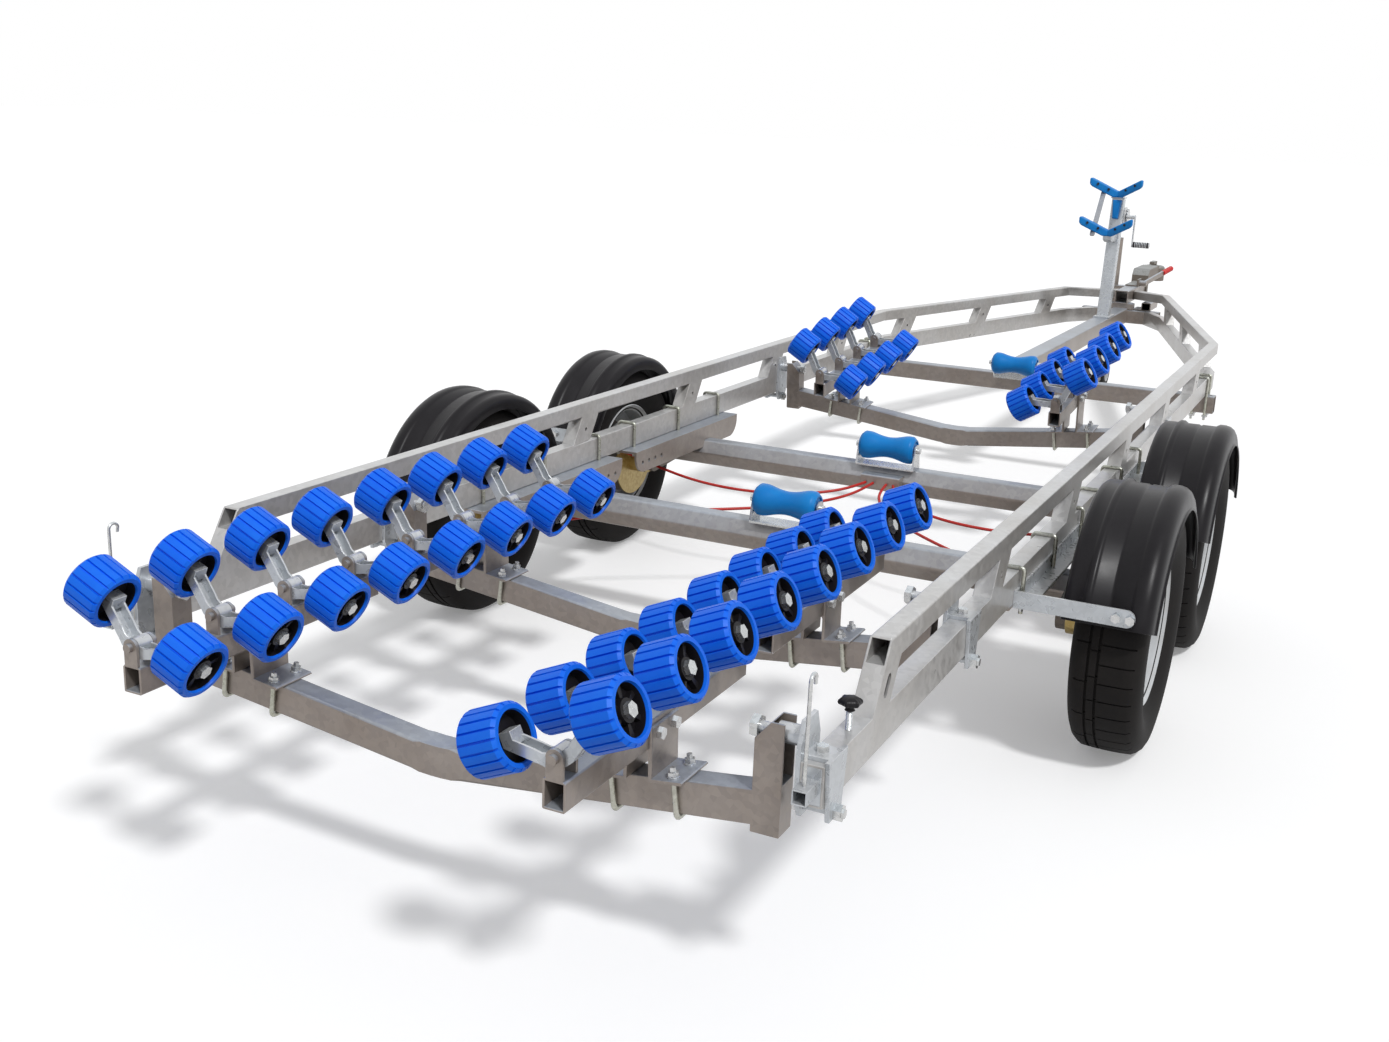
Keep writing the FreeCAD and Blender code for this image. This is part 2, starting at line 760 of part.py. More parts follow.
def rim(x):
    half = rim_width / 2
    inner = bead_radius - rim_thickness
    face = disc_face_y
    barrel = turned([(bead_radius, wheel_y - half + rim_thickness),
                     (flange_radius, wheel_y - half + rim_thickness),
                     (flange_radius, wheel_y - half), (inner, wheel_y - half), (inner, wheel_y + half),
                     (flange_radius, wheel_y + half), (flange_radius, wheel_y + half - rim_thickness),
                     (bead_radius, wheel_y + half - rim_thickness)], x)
    disc = turned([(0, face - disc_thickness), (disc_hub_radius, face - disc_thickness),
                   (disc_crown_radius, face + disc_crown_height), (inner, face - disc_edge_drop),
                   (inner, face),
                   (disc_crown_radius, face + disc_crown_height + disc_thickness), (disc_hub_radius, face),
                   (0, face)], x)
    bore = stub_radius + seat_gap
    drum = turned([(bore, drum_inner_y), (drum_radius, drum_inner_y), (drum_radius, drum_outer_y),
                   (hub_radius, drum_outer_y), (hub_radius, face - disc_thickness),
                   (0, face - disc_thickness),
                   (0, drum_outer_y - drum_end_wall), (bore, drum_outer_y - drum_end_wall)], x)
    cap_end = face + hub_cap_length
    cap = turned([(0, face), (hub_cap_radius, face), (hub_cap_radius, cap_end - hub_cap_round),
                  (hub_cap_radius - hub_cap_round, cap_end), (0, cap_end)], x)
    studs, vents = [], []
    for k in range(stud_count):
        turn = math.pi / 2 + 2 * math.pi / stud_count * k
        centre = V(x + stud_circle / 2 * math.cos(turn), face, tyre_radius + stud_circle / 2 * math.sin(turn))
        nut_end = centre + V(0, stud_nut_height, 0)
        studs.append(rod(centre, nut_end, stud_nut_radius))
        studs.append(rod(nut_end, nut_end + V(0, stud_end_length, 0), stud_radius))
    for k in range(vent_count):
        turn = 2 * math.pi / vent_count * (k + 0.5)
        centre = V(x + vent_circle_radius * math.cos(turn), face,
                   tyre_radius + vent_circle_radius * math.sin(turn))
        reach = V(0, disc_crown_height + disc_thickness + disc_edge_drop, 0)
        vents.append(rod(centre - reach, centre + reach, vent_radius))
    return fused([barrel, disc.cut(Part.makeCompound(vents)), drum, cap] + studs)


for end, x in (("rear", wheel_rear_x), ("front", wheel_front_x)):
    nodes["tyre_" + end + "_left"] = tyre(x)
    nodes["rim_" + end + "_left"] = rim(x)
    nodes["tyre_" + end + "_right"] = mirrored(nodes["tyre_" + end + "_left"])
    nodes["rim_" + end + "_right"] = mirrored(nodes["rim_" + end + "_left"])


# Mudguards: an arched sheet with two raised ridges and turned-down side lips
def mudguard(x):
    half = guard_width / 2
    inner = guard_radius - guard_thickness
    lip = guard_radius - guard_lip
    crest = guard_radius + guard_ridge_height
    ridge = [(crest - guard_ridge_height, guard_ridge_offset + guard_ridge_width / 2),
             (crest, guard_ridge_offset + guard_ridge_width / 4),
             (crest, guard_ridge_offset - guard_ridge_width / 4),
             (crest - guard_ridge_height, guard_ridge_offset - guard_ridge_width / 2)]
    outer = [(lip, half), (guard_radius - guard_thickness, half),
             (guard_radius, half - guard_thickness)] + ridge
    profile = [(r, wheel_y + y) for r, y in outer] + [(r, wheel_y - y) for r, y in outer[::-1]]
    profile += [(lip, wheel_y - half + guard_thickness), (inner, wheel_y - half + guard_thickness),
                (inner, wheel_y + half - guard_thickness), (lip, wheel_y + half - guard_thickness)]
    skin = turned(profile, x)
    cut_z = tyre_radius + guard_radius * math.sin(math.radians(guard_end_angle))
    reach = crest + cut_overrun
    keep = block(x - reach, x + reach, wheel_y - guard_width, wheel_y + guard_width, cut_z,
                 tyre_radius + reach)
    return skin.common(keep)


guards = [mudguard(x) for x in (wheel_rear_x, wheel_front_x)]
nodes["mudguards"] = Part.makeCompound(guards + [mirrored(g) for g in guards])

# Stays: an angle along the rail under each guard with a round-ended bar at either end
stay_base = lower_rail_base - stay_drop
stay_seat = guard_radius + guard_ridge_height
stay_reach = math.sqrt(stay_seat ** 2 - (stay_base - tyre_radius) ** 2)


def stay_set(wheel_x):
    pieces = []
    for sign in (-1, 1):
        start = wheel_x + sign * stay_reach
        low_x, high_x = sorted((start, start + sign * stay_thickness))
        end_y = wheel_y + guard_width / 2 - stay_end_inset
        bar = block(low_x, high_x, rail_outer_y, end_y - stay_height / 2, stay_base, stay_base + stay_height)
        tip = rod(V(low_x, end_y - stay_height / 2, stay_base + stay_height / 2),
                  V(high_x, end_y - stay_height / 2, stay_base + stay_height / 2), stay_height / 2)
        pieces += [bar, tip]
    tail, nose = wheel_x - stay_reach - stay_thickness, wheel_x + stay_reach + stay_thickness
    pieces.append(block(tail, nose, rail_outer_y, rail_outer_y + stay_thickness, stay_base,
                        stay_base + stay_height))
    pieces.append(block(tail, nose, rail_outer_y, rail_outer_y + stay_height, stay_base,
                        stay_base + stay_thickness))
    return fused(pieces)


stays = [stay_set(wheel_rear_x), stay_set(wheel_front_x)]

# Swing cradles: a bent box beam between two channel posts that hang on the pivot pins
cradle_angle = math.atan(cradle_slope_share)


def cradle_top(y, lift):
    return cradle_middle_z + lift + cradle_slope_share * abs(y) + cradle_height / 2 / math.cos(cradle_angle)


def bent_bar(x, half_depth, half_height, reach, lift):
    # Box bar bent upwards at the middle: straight arms joined by arcs about one centre.
    centre_z = cradle_middle_z + lift + cradle_bend_radius / math.cos(cradle_angle)
    edges = []
    corners = []
    for radius in (cradle_bend_radius + half_height, cradle_bend_radius - half_height):
        side_y, side_z = radius * math.sin(cradle_angle), centre_z - radius * math.cos(cradle_angle)
        end_z = side_z + (reach - side_y) * cradle_slope_share
        left, right = V(x, -reach, end_z), V(x, reach, end_z)
        bend = [V(x, -side_y, side_z), V(x, 0, centre_z - radius), V(x, side_y, side_z)]
        edges += [Part.LineSegment(left, bend[0]).toShape(), Part.Arc(*bend).toShape(),
                  Part.LineSegment(bend[2], right).toShape()]
        corners.append((left, right))
    for k in (0, 1):
        edges.append(Part.LineSegment(corners[0][k], corners[1][k]).toShape())
    face = Part.Face(Part.Wire(Part.__sortEdges__(edges)))
    face.translate(V(-half_depth, 0, 0))
    return face.extrude(V(2 * half_depth, 0, 0))


post_inner_y = post_y - post_width / 2
post_outer_y = post_y + post_width / 2
bevel_y = post_inner_y + post_bevel_width


def cradle_post(x, lift):
    # Channel open to the outside above its mouth, with a bevelled inner top corner.
    half = cradle_depth / 2
    foot = cradle_top(post_y, lift) - cradle_height - post_foot_drop
    bevel_z = post_top_z - post_bevel_height

    def outline(x0, shift, low, outside, top):
        return [V(x0, post_inner_y + shift, low), V(x0, outside, low), V(x0, outside, top),
                V(x0, bevel_y + shift, top), V(x0, post_inner_y + shift, bevel_z)]
    solid = prism(outline(x - half, 0, foot, post_outer_y, post_top_z), V(cradle_depth, 0, 0))
    wall = cradle_wall
    channel = prism(outline(x - half + wall, wall, post_mouth_z, post_outer_y + cut_overrun,
                            post_top_z + cut_overrun),
                    V(cradle_depth - 2 * wall, 0, 0))
    lower = block(x - half + wall, x + half - wall, post_inner_y + wall, post_outer_y - wall,
                  foot - cut_overrun,
                  post_mouth_z - wall)
    bore = rod(V(x, post_inner_y - cut_overrun, pivot_z), V(x, post_outer_y, pivot_z),
               pivot_pin_radius + slide_gap)
    return solid.cut(channel).cut(lower).cut(bore)


def cradle(x, lift, nose_up):
    half = cradle_depth / 2
    beam = bent_bar(x, half, cradle_height / 2, post_inner_y, lift)
    beam = beam.cut(bent_bar(x, half - cradle_wall, cradle_height / 2 - cradle_wall,
                             post_inner_y + cut_overrun, lift))
    post = cradle_post(x, lift)
    return swung(fused([beam, post, mirrored(post)]), nose_up, x, pivot_z)


def hanger(x):
    # Saddle over the lower rail: a tall inner plate, a cap and a tapered outer plate,
    # drawn together by one bolt under the rail; the inner plate carries the pivot.
    half, foot = hanger_length / 2, hanger_foot_length / 2
    cap_z = lower_rail_top + hanger_thickness
    in_y, out_y = rail_inner_y - hanger_thickness, rail_outer_y + hanger_thickness
    inner = prism([V(x - foot, in_y, hanger_foot_z), V(x + foot, in_y, hanger_foot_z),
                   V(x + half, in_y, lower_rail_base),
                   V(x + half, in_y, pivot_z), V(x + foot, in_y, hanger_top_z),
                   V(x - foot, in_y, hanger_top_z),
                   V(x - half, in_y, pivot_z), V(x - half, in_y, lower_rail_base)], V(0, hanger_thickness, 0))
    outer = prism([V(x - foot, rail_outer_y, hanger_foot_z), V(x + foot, rail_outer_y, hanger_foot_z),
                   V(x + half, rail_outer_y, cap_z), V(x - half, rail_outer_y, cap_z)],
                  V(0, hanger_thickness, 0))
    cap = block(x - hanger_cap_length / 2, x + hanger_cap_length / 2, in_y, out_y, lower_rail_top, cap_z)
    bolt = rod(V(x, in_y - hanger_bolt_head_height, hanger_bolt_z),
               V(x, out_y + hanger_bolt_head_height, hanger_bolt_z),
               hanger_bolt_radius)
    heads = [rod(V(x, y, hanger_bolt_z), V(x, y + s * hanger_bolt_head_height, hanger_bolt_z),
                 hanger_bolt_head_radius)
             for y, s in ((in_y, -1), (out_y, 1))]
    boss = rod(V(x, bevel_y + cradle_wall + running_gap, pivot_z), V(x, rail_inner_y, pivot_z),
               pivot_boss_radius)
    pin_end = post_inner_y - running_gap - pivot_nut_height
    pin = rod(V(x, pin_end, pivot_z), V(x, rail_inner_y, pivot_z), pivot_pin_radius)
    nut = rod(V(x, pin_end, pivot_z), V(x, post_inner_y - running_gap, pivot_z), pivot_nut_radius)
    return fused([inner, outer, cap, bolt, boss, pin, nut] + heads)


def roller_beam(x, cradle_lift, lift, nose_up):
    # Box beam along X with the ears of four arms on top and its clamp angles below.
    base = beam_base + lift
    top = base + beam_height
    centre_x = x + beam_lead
    half_length = beam_length / 2
    pieces = [box_tube(V(centre_x - half_length, beam_y, base + beam_height / 2),
                       V(centre_x + half_length, beam_y, base + beam_height / 2), UP, beam_width,
                       beam_height, beam_wall)]
    pivot = top + bank_pivot_rise
    ear_gap = arm_channel_width / 2 + running_gap
    for k in range(roller_count):
        rx = x + roller_lead + roller_pitch * (k - (roller_count - 1) / 2)
        for sign in (-1, 1):
            x0, x1 = sorted((rx + sign * ear_gap, rx + sign * (ear_gap + ear_thickness)))
            ear = block(x0, x1, beam_y - ear_width / 2, beam_y + ear_width / 2, top, pivot)
            pieces += [ear, rod(V(x0, beam_y, pivot), V(x1, beam_y, pivot), ear_crown)]
        overhang = ear_gap + ear_thickness + bank_pin_overhang
        pieces.append(rod(V(rx - overhang, beam_y, pivot), V(rx + overhang, beam_y, pivot), bank_pin_radius))
    # Clamp angles: the upright leg lies on the beam's side, the flange on the sloping bar.
    tail = x - clamp_length / 2
    for sign in (-1, 1):
        face = beam_y + sign * beam_width / 2
        back = face + sign * clamp_thickness
        far = face + sign * clamp_flange
        leg = [(face, cradle_top(face, cradle_lift)), (back, cradle_top(back, cradle_lift)),
               (back, top - clamp_leg_inset), (face, top - clamp_leg_inset)]
        foot = [(face, cradle_top(face, cradle_lift)), (far, cradle_top(far, cradle_lift)),
                (far, cradle_top(far, cradle_lift) + clamp_thickness),
                (face, cradle_top(face, cradle_lift) + clamp_thickness)]
        for outline in (leg, foot):
            pieces.append(prism([V(tail, y, z) for y, z in outline], V(clamp_length, 0, 0)))
        for bx in (x - clamp_bolt_pitch / 2, x + clamp_bolt_pitch / 2):
            pieces.append(rod(V(bx, face, base + beam_height / 2),
                              V(bx, back + sign * clamp_bolt_height, base + beam_height / 2),
                              clamp_bolt_radius))
    return swung(fused(pieces), nose_up, x, pivot_z)


def tilted(shape, z, degrees):
    copy = shape.copy()
    copy.rotate(V(0, beam_y, z), V(1, 0, 0), degrees)
    return copy


def bank_arm(x, z):
    # Pressed channel drawn level: it bows under the pivot and has a stub pin at both ends.
    inner_end = roller_half_span - roller_width / 2 + roller_inner_dish_depth - arm_tip_gap
    high = z + roller_drop
    half_channel, depth = arm_channel_width / 2, arm_channel_depth / 2
    bow = [(arm_heel_half, arm_heel_depth), (arm_bow_half, arm_bow_depth), (arm_leg_half, arm_leg_depth)]

    def vee(wall, over, shrink):
        under = [(y, z - drop + wall) for y, drop in bow] + [(inner_end + over, high - depth + wall)]
        above = [(y, z - drop + 2 * depth + over) for y, drop in bow] + [(inner_end + over,
                                                                          high + depth + over)]
        outline = [(-y, h) for y, h in under[::-1]] + under + above[::-1] + [(-y, h) for y, h in above]
        points = [V(x - half_channel + shrink, beam_y + y, h) for y, h in outline]
        return prism(points, V(arm_channel_width - 2 * shrink, 0, 0))

    channel = vee(0, 0, 0).cut(vee(arm_channel_wall, cut_overrun, arm_channel_wall))
    boss = rod(V(x - half_channel, beam_y, z), V(x + half_channel, beam_y, z),
               arm_heel_depth - arm_channel_wall / 2)
    bore = rod(V(x - arm_channel_width, beam_y, z), V(x + arm_channel_width, beam_y, z),
               bank_pin_radius + slide_gap)
    stubs = []
    for sign in (-1, 1):
        root = beam_y + sign * (inner_end - stub_pin_radius * 2)
        tip = beam_y + sign * (roller_half_span + roller_width / 2 - roller_dish_depth + stub_pin_overhang)
        plug_end = beam_y + sign * inner_end
        y0, y1 = sorted((root, plug_end))
        stubs.append(block(x - half_channel, x + half_channel, y0, y1, high - depth, high + depth))
        stubs.append(rod(V(x, root, high), V(x, tip, high), stub_pin_radius))
    return fused([channel, boss] + stubs).cut(bore)


def ribbed_roller(x, z, sign):
    # Many-sided roller with chamfered rims and both faces dished.
    inner_y = beam_y + sign * (roller_half_span - roller_width / 2)
    centre_z = z + roller_drop
    high = roller_chamfer

    def section(y, radius):
        points = []
        for k in range(roller_sides):
            turn = 2 * math.pi * k / roller_sides
            points.append(V(x + radius * math.cos(turn), y, centre_z + radius * math.sin(turn)))
        return Part.makePolygon(points + [points[0]])
    stations = [(0, roller_radius - high), (high, roller_radius), (roller_width - high, roller_radius),
                (roller_width, roller_radius - high)]
    body = Part.makeLoft([section(inner_y + sign * d, r) for d, r in stations], True, True)
    outer_y = inner_y + sign * roller_width
    dish = rod(V(x, outer_y - sign * roller_dish_depth, centre_z),
               V(x, outer_y + sign * cut_overrun, centre_z),
               roller_dish_radius)
    inner_dish = rod(V(x, inner_y - sign * cut_overrun, centre_z),
                     V(x, inner_y + sign * roller_inner_dish_depth, centre_z), roller_dish_radius)
    bore = rod(V(x, inner_y - sign * cut_overrun, centre_z), V(x, outer_y + sign * cut_overrun, centre_z),
               stub_pin_radius)
    return body.cut(dish).cut(inner_dish).cut(bore)


cradle_settings = {"rear": (rear_cradle_x, 0.0, 0.0, 0.0, bank_tilt),
                   "mid": (mid_cradle_x, 0.0, 0.0, 0.0, bank_tilt),
                   "front": (front_cradle_x, front_cradle_lift, front_beam_lift, front_nose_up,
                             front_bank_tilt)}
hangers = []
for name, (x, cradle_lift, lift, nose_up, tilt) in cradle_settings.items():
    hangers.append(hanger(x))
    nodes["cradle_" + name] = cradle(x, cradle_lift, nose_up)
    nodes["roller_beams_" + name] = pair(roller_beam(x, cradle_lift, lift, nose_up))
    arm_set, roller_set = [], []
    pivot = beam_base + lift + beam_height + bank_pivot_rise
    for k in range(roller_count):
        rx = x + roller_lead + roller_pitch * (k - (roller_count - 1) / 2)
        arm_set.append(swung(tilted(bank_arm(rx, pivot), pivot, tilt), nose_up, x, pivot_z))
        for sign in (-1, 1):
            roller_set.append(swung(tilted(ribbed_roller(rx, pivot, sign), pivot, tilt), nose_up, x, pivot_z))
    nodes["bank_arms_" + name + "_left"] = Part.makeCompound(arm_set)
    nodes["bank_arms_" + name + "_right"] = Part.makeCompound([mirrored(a) for a in arm_set])
    nodes["bank_rollers_" + name + "_left"] = Part.makeCompound(roller_set)
    nodes["bank_rollers_" + name + "_right"] = Part.makeCompound([mirrored(r) for r in roller_set])
nodes["cradle_hangers"] = Part.makeCompound(hangers + [mirrored(h) for h in hangers])


# Keel rollers: waisted rollers on cross pins between cheek plates
def keel_roller(x, z):
    half = keel_roller_length / 2
    bore = keel_pin_radius + slide_gap
    side = [(bore, half), (keel_end_radius - keel_chamfer, half), (keel_end_radius, half - keel_chamfer),
            (keel_end_radius - keel_chamfer / 4, half * keel_body_share),
            (keel_waist_radius, half * keel_waist_share)]
    profile = [(r, -y) for r, y in side] + [(r, y) for r, y in side[::-1]]
    return revolved([V(x, y, z + r) for r, y in profile], V(x, 0, z))


def keel_bracket(x, z, seat_z, pad_tail_x, pad_nose_x):
    half = keel_roller_length / 2 + running_gap
    cheek = keel_cheek_thickness
    pieces = [block(pad_tail_x, pad_nose_x, -half - cheek, half + cheek, seat_z, seat_z + cheek)]
    for sign in (-1, 1):
        y0 = min(sign * half, sign * (half + cheek))
        pieces.append(prism([V(x - keel_cheek_foot, y0, seat_z), V(x + keel_cheek_foot, y0, seat_z),
                             V(x + keel_cheek_head, y0, z), V(x - keel_cheek_head, y0, z)], V(0, cheek, 0)))
        pieces.append(rod(V(x, y0, z), V(x, y0 + cheek, z), keel_cheek_head))
    reach = half + cheek + keel_pin_overhang
    pieces.append(rod(V(x, -reach, z), V(x, reach, z), keel_pin_radius))
    return fused(pieces)


axle_top = axle_z + axle_flat / 2
keel_axle_z = axle_z + keel_axle_rise
keel_stations = {"rear": axle_rear_x - keel_axle_offset, "mid": axle_front_x - keel_axle_offset}
keel_parts = []
for name, x in keel_stations.items():
    nodes["keel_roller_" + name] = keel_roller(x, keel_axle_z)
    keel_parts.append(keel_bracket(x, keel_axle_z, axle_top, x - keel_cheek_foot, x + keel_cheek_foot))
nodes["keel_roller_front"] = keel_roller(keel_front_x, keel_front_z)
# The front one is held by two cheeks welded to a plate across the spine's end.
half = keel_roller_length / 2 + running_gap
fork = [block(keel_end_x, spine_tail_x, -half - keel_cheek_thickness, half + keel_cheek_thickness,
              lower_rail_base, spine_top)]
for sign in (-1, 1):
    y0 = min(sign * half, sign * (half + keel_cheek_thickness))
    fork.append(prism([V(keel_front_x, y0, keel_front_z - keel_cheek_head),
                       V(spine_tail_x, y0, lower_rail_base),
                       V(spine_tail_x, y0, spine_top), V(keel_front_x, y0, keel_front_z + keel_cheek_head)],
                      V(0, keel_cheek_thickness, 0)))
    fork.append(rod(V(keel_front_x, y0, keel_front_z), V(keel_front_x, y0 + keel_cheek_thickness,
                                                         keel_front_z),
                    keel_cheek_head))
reach = half + keel_cheek_thickness + keel_pin_overhang
fork.append(rod(V(keel_front_x, -reach, keel_front_z), V(keel_front_x, reach, keel_front_z), keel_pin_radius))
keel_parts.append(fused(fork))
nodes["keel_brackets"] = Part.makeCompound(keel_parts)

# Winch post, leaning forward on a foot plate over the spine
post_x = tandem_x + winch_post_reach
lean_tan = math.tan(math.radians(post_lean))
lean_cos = math.cos(math.radians(post_lean))
lean = V(math.sin(math.radians(post_lean)), 0, lean_cos)
post_foot = V(post_x, 0, spine_top)
post_end = post_foot + lean * winch_post_height
post = box_tube(post_foot - lean * post_section, post_end, V(1, 0, 0), post_section, post_section, post_wall)
post = post.common(block(post_x - winch_post_height, post_x + winch_post_height, -post_section, post_section,
                         spine_top, spine_top + 2 * winch_post_height))
foot_plate = block(post_x - foot_plate_rear, post_x + foot_plate_front, -spine_width / 2, spine_width / 2,
                   spine_top, spine_top + foot_plate_thickness)
foot_plate = foot_plate.cut(prism([V(post_x - post_section / 2 / lean_cos, -post_section / 2, spine_top),
                                   V(post_x + post_section / 2 / lean_cos, -post_section / 2, spine_top),
                                   V(post_x + post_section / 2 / lean_cos, post_section / 2, spine_top),
                                   V(post_x - post_section / 2 / lean_cos, post_section / 2, spine_top)],
                                  lean * (foot_plate_thickness / lean_cos)))
cap_half = post_section / 2 + cap_overhang
cap_z = post_end.z + lean.x * post_section / 2
cap = block(post_end.x - cap_half, post_end.x + cap_half, -cap_half, cap_half, cap_z, cap_z + cap_thickness)


def post_face_x(z, sign):
    return post_x + (z - spine_top) * lean_tan + sign * post_section / 2 / lean_cos


low_block_x = tandem_x + low_block_reach
low_arm_top = low_block_z - block_core_height / 2
low_arm_base = low_arm_top - bow_arm_height
low_arm = prism([V(low_block_x - block_depth / 2, -bow_arm_width / 2, low_arm_top),
                 V(low_block_x - block_depth / 2, -bow_arm_width / 2, low_arm_base + bow_arm_height / 2),
                 V(low_block_x + block_depth / 2, -bow_arm_width / 2, low_arm_base),
                 V(post_face_x(low_arm_base, -1), -bow_arm_width / 2, low_arm_base),
                 V(post_face_x(low_arm_top, -1), -bow_arm_width / 2, low_arm_top)], V(0, bow_arm_width, 0))
top_block_x = post_end.x - top_block_setback
nodes["winch_post"] = fused([post, foot_plate, cap, low_arm])


def bow_block(x, seat_z):
    # V-shaped moulded block: two arms rising outwards and sweeping back from a core.
    z = seat_z + block_core_height / 2
    pieces = [block(x - block_depth / 2, x + block_depth / 2, -block_core_half, block_core_half,
                    seat_z, seat_z + block_core_height)]
    for sign in (-1, 1):
        root = V(x, 0, z)
        tip = V(x - block_sweep, sign * block_half_width, z + block_rise)
        run = tip - root
        high = V(0, -run.z, run.y).normalize() * (sign * block_thickness / 2)
        half = V(block_depth / 2, 0, 0)
        pieces.append(prism([root - high - half, root - high + half, root + high + half,
                             root + high - half], run))
    below = block(x - 2 * block_half_width, x + 2 * block_half_width, -2 * block_half_width,
                  2 * block_half_width,
                  seat_z - block_thickness, seat_z)
    return fused(pieces).cut(below)


upper_block = bow_block(top_block_x, cap_z + cap_thickness)
lower_block = bow_block(low_block_x, low_arm_top)
pad_top = cap_z - cap_overhang
pad_base = pad_top - pad_height
pad = prism([V(post_face_x(pad_base, -1), -pad_half_width, pad_base),
             V(post_face_x(pad_top, -1), -pad_half_width, pad_top),
             V(post_face_x(pad_top, -1) - pad_thickness, -pad_half_width, pad_top),
             V(post_face_x(pad_base, -1) - pad_thickness, -pad_half_width, pad_base + pad_thickness / 2)],
            V(0, 2 * pad_half_width, 0))
nodes["bow_blocks"] = Part.makeCompound([upper_block, lower_block, pad])

# Winch on the front face of the post
winch_x = post_face_x(winch_z, 1) + drum_flange_radius + winch_gap
cheek_y = drum_core_width / 2 + running_gap
cheek_low, cheek_high = winch_z - winch_plate_drop, winch_z + winch_plate_rise
back_x = post_face_x(cheek_low, 1) - winch_plate_lap
frame_parts = []
for sign in (-1, 1):
    y0 = min(sign * cheek_y, sign * (cheek_y + winch_plate_thickness))
    side = prism([V(back_x, y0, cheek_low), V(winch_x, y0, cheek_low),
                  V(winch_x + winch_plate_nose, y0, winch_z),
                  V(winch_x + winch_plate_nose, y0, winch_z + winch_plate_nose),
                  V(winch_x, y0, cheek_high), V(back_x, y0, cheek_high)], V(0, winch_plate_thickness, 0))
    frame_parts.append(side)
frame_parts.append(block(back_x, winch_x - drum_flange_radius - running_gap, -cheek_y, cheek_y, cheek_low,
                         cheek_high))
shaft_hole = rod(V(winch_x, -2 * cheek_y, winch_z), V(winch_x, 2 * cheek_y, winch_z),
                 winch_shaft_radius + slide_gap)
solid_post = prism(rectangle(post_foot, V(1, 0, 0), V(0, 1, 0), post_section / 2 / lean_cos,
                             post_section / 2),
                   lean * winch_post_height)
nodes["winch_frame"] = fused(frame_parts).cut(shaft_hole).cut(solid_post)
shaft_end_y = cheek_y + winch_plate_thickness + winch_shaft_overhang
half_core = drum_core_width / 2


def winch_rod(y0, y1, z, radius):
    return rod(V(winch_x, y0, z), V(winch_x, y1, z), radius)


crank_z = winch_z - crank_length + crank_width / 2
reel = [winch_rod(-half_core, half_core, winch_z, drum_core_radius),
        winch_rod(-half_core, -half_core + drum_flange_thickness, winch_z, drum_flange_radius),
        winch_rod(half_core - drum_flange_thickness, half_core, winch_z, drum_flange_radius),
        winch_rod(-shaft_end_y, cheek_y + 2 * winch_plate_thickness, winch_z, winch_shaft_radius),
        block(winch_x - crank_width / 2, winch_x + crank_width / 2, -shaft_end_y - crank_thickness,
              -shaft_end_y,
              crank_z, winch_z),
        winch_rod(-shaft_end_y - crank_thickness, -shaft_end_y, winch_z, crank_width / 2),
        winch_rod(-shaft_end_y - crank_thickness, -shaft_end_y, crank_z, crank_width / 2),
        winch_rod(-shaft_end_y - crank_grip_length, -shaft_end_y, crank_z, crank_grip_radius)]
nodes["winch_drum"] = fused(reel)

# Overrun device: a cast housing astride the drawbar's nose and the brake lever's bracket
housing_top = drawbar_top + housing_height
housing = prism([V(housing_tail_x, -housing_half_width, drawbar_top),
                 V(housing_tail_x, -housing_half_width, housing_top - 2 * housing_chamfer),
                 V(housing_tail_x + 2 * housing_chamfer, -housing_half_width, housing_top),
                 V(housing_nose_x - housing_chamfer, -housing_half_width, housing_top),
                 V(housing_nose_x, -housing_half_width, housing_top - housing_chamfer),
                 V(housing_nose_x, -housing_half_width, drawbar_top)], V(0, 2 * housing_half_width, 0))
top_edges = [e for e in housing.Edges if e.BoundBox.ZMin > housing_top - housing_chamfer / 2
             and e.BoundBox.YLength < housing_chamfer / 2]
housing = housing.makeFillet(housing_chamfer / 2, top_edges)
cheeks = []
for sign in (-1, 1):
    y0, y1 = sorted((sign * drawbar_size / 2, sign * (drawbar_size / 2 + housing_cheek)))
    cheeks.append(block(housing_tail_x, drawbar_nose_x, y0, y1, drawbar_top - housing_cheek_drop,
                        drawbar_top))
shaft = rod(V(housing_nose_x - cut_overrun, 0, shaft_z), V(coupling_tail_x + shaft_socket, 0, shaft_z),
            shaft_radius)
brake_x = tandem_x + handbrake_reach
brake_z = drawbar_top + handbrake_boss_radius
bracket_y = -drawbar_size / 2
brake_bracket = [block(brake_x - handbrake_bracket_length / 2, housing_tail_x, bracket_y, -bracket_y,
                       drawbar_top, drawbar_top + handbrake_bracket_thickness),
                 block(brake_x - handbrake_bracket_length / 2, brake_x + handbrake_bracket_length / 2,
                       bracket_y,
                       bracket_y + handbrake_bracket_thickness, drawbar_top,
                       drawbar_top + handbrake_bracket_height)]
nodes["overrun_housing"] = fused([housing, shaft] + cheeks + brake_bracket)

# Coupling head with the handle on its back
neck = prism([V(coupling_tail_x, -coupling_half_width, shaft_z - coupling_half_width),
              V(ball_x, -coupling_half_width, shaft_z - nose_radius),
              V(ball_x, -coupling_half_width, shaft_z + coupling_crown),
              V(coupling_tail_x, -coupling_half_width, shaft_z + coupling_half_width)],
             V(0, 2 * coupling_half_width, 0))
head = rod(V(ball_x, 0, shaft_z - nose_radius), V(ball_x, 0, shaft_z + coupling_crown), nose_radius)
crown_edges = [e for e in head.Edges if e.BoundBox.ZMin > shaft_z + coupling_crown / 2
               and e.BoundBox.ZLength < housing_chamfer / 2]
head = head.makeFillet(housing_chamfer, crown_edges)
head_bore = rod(V(coupling_tail_x - cut_overrun, 0, shaft_z), V(coupling_tail_x + shaft_socket, 0, shaft_z),
                shaft_radius)
ball_z = shaft_z - nose_radius + socket_depth
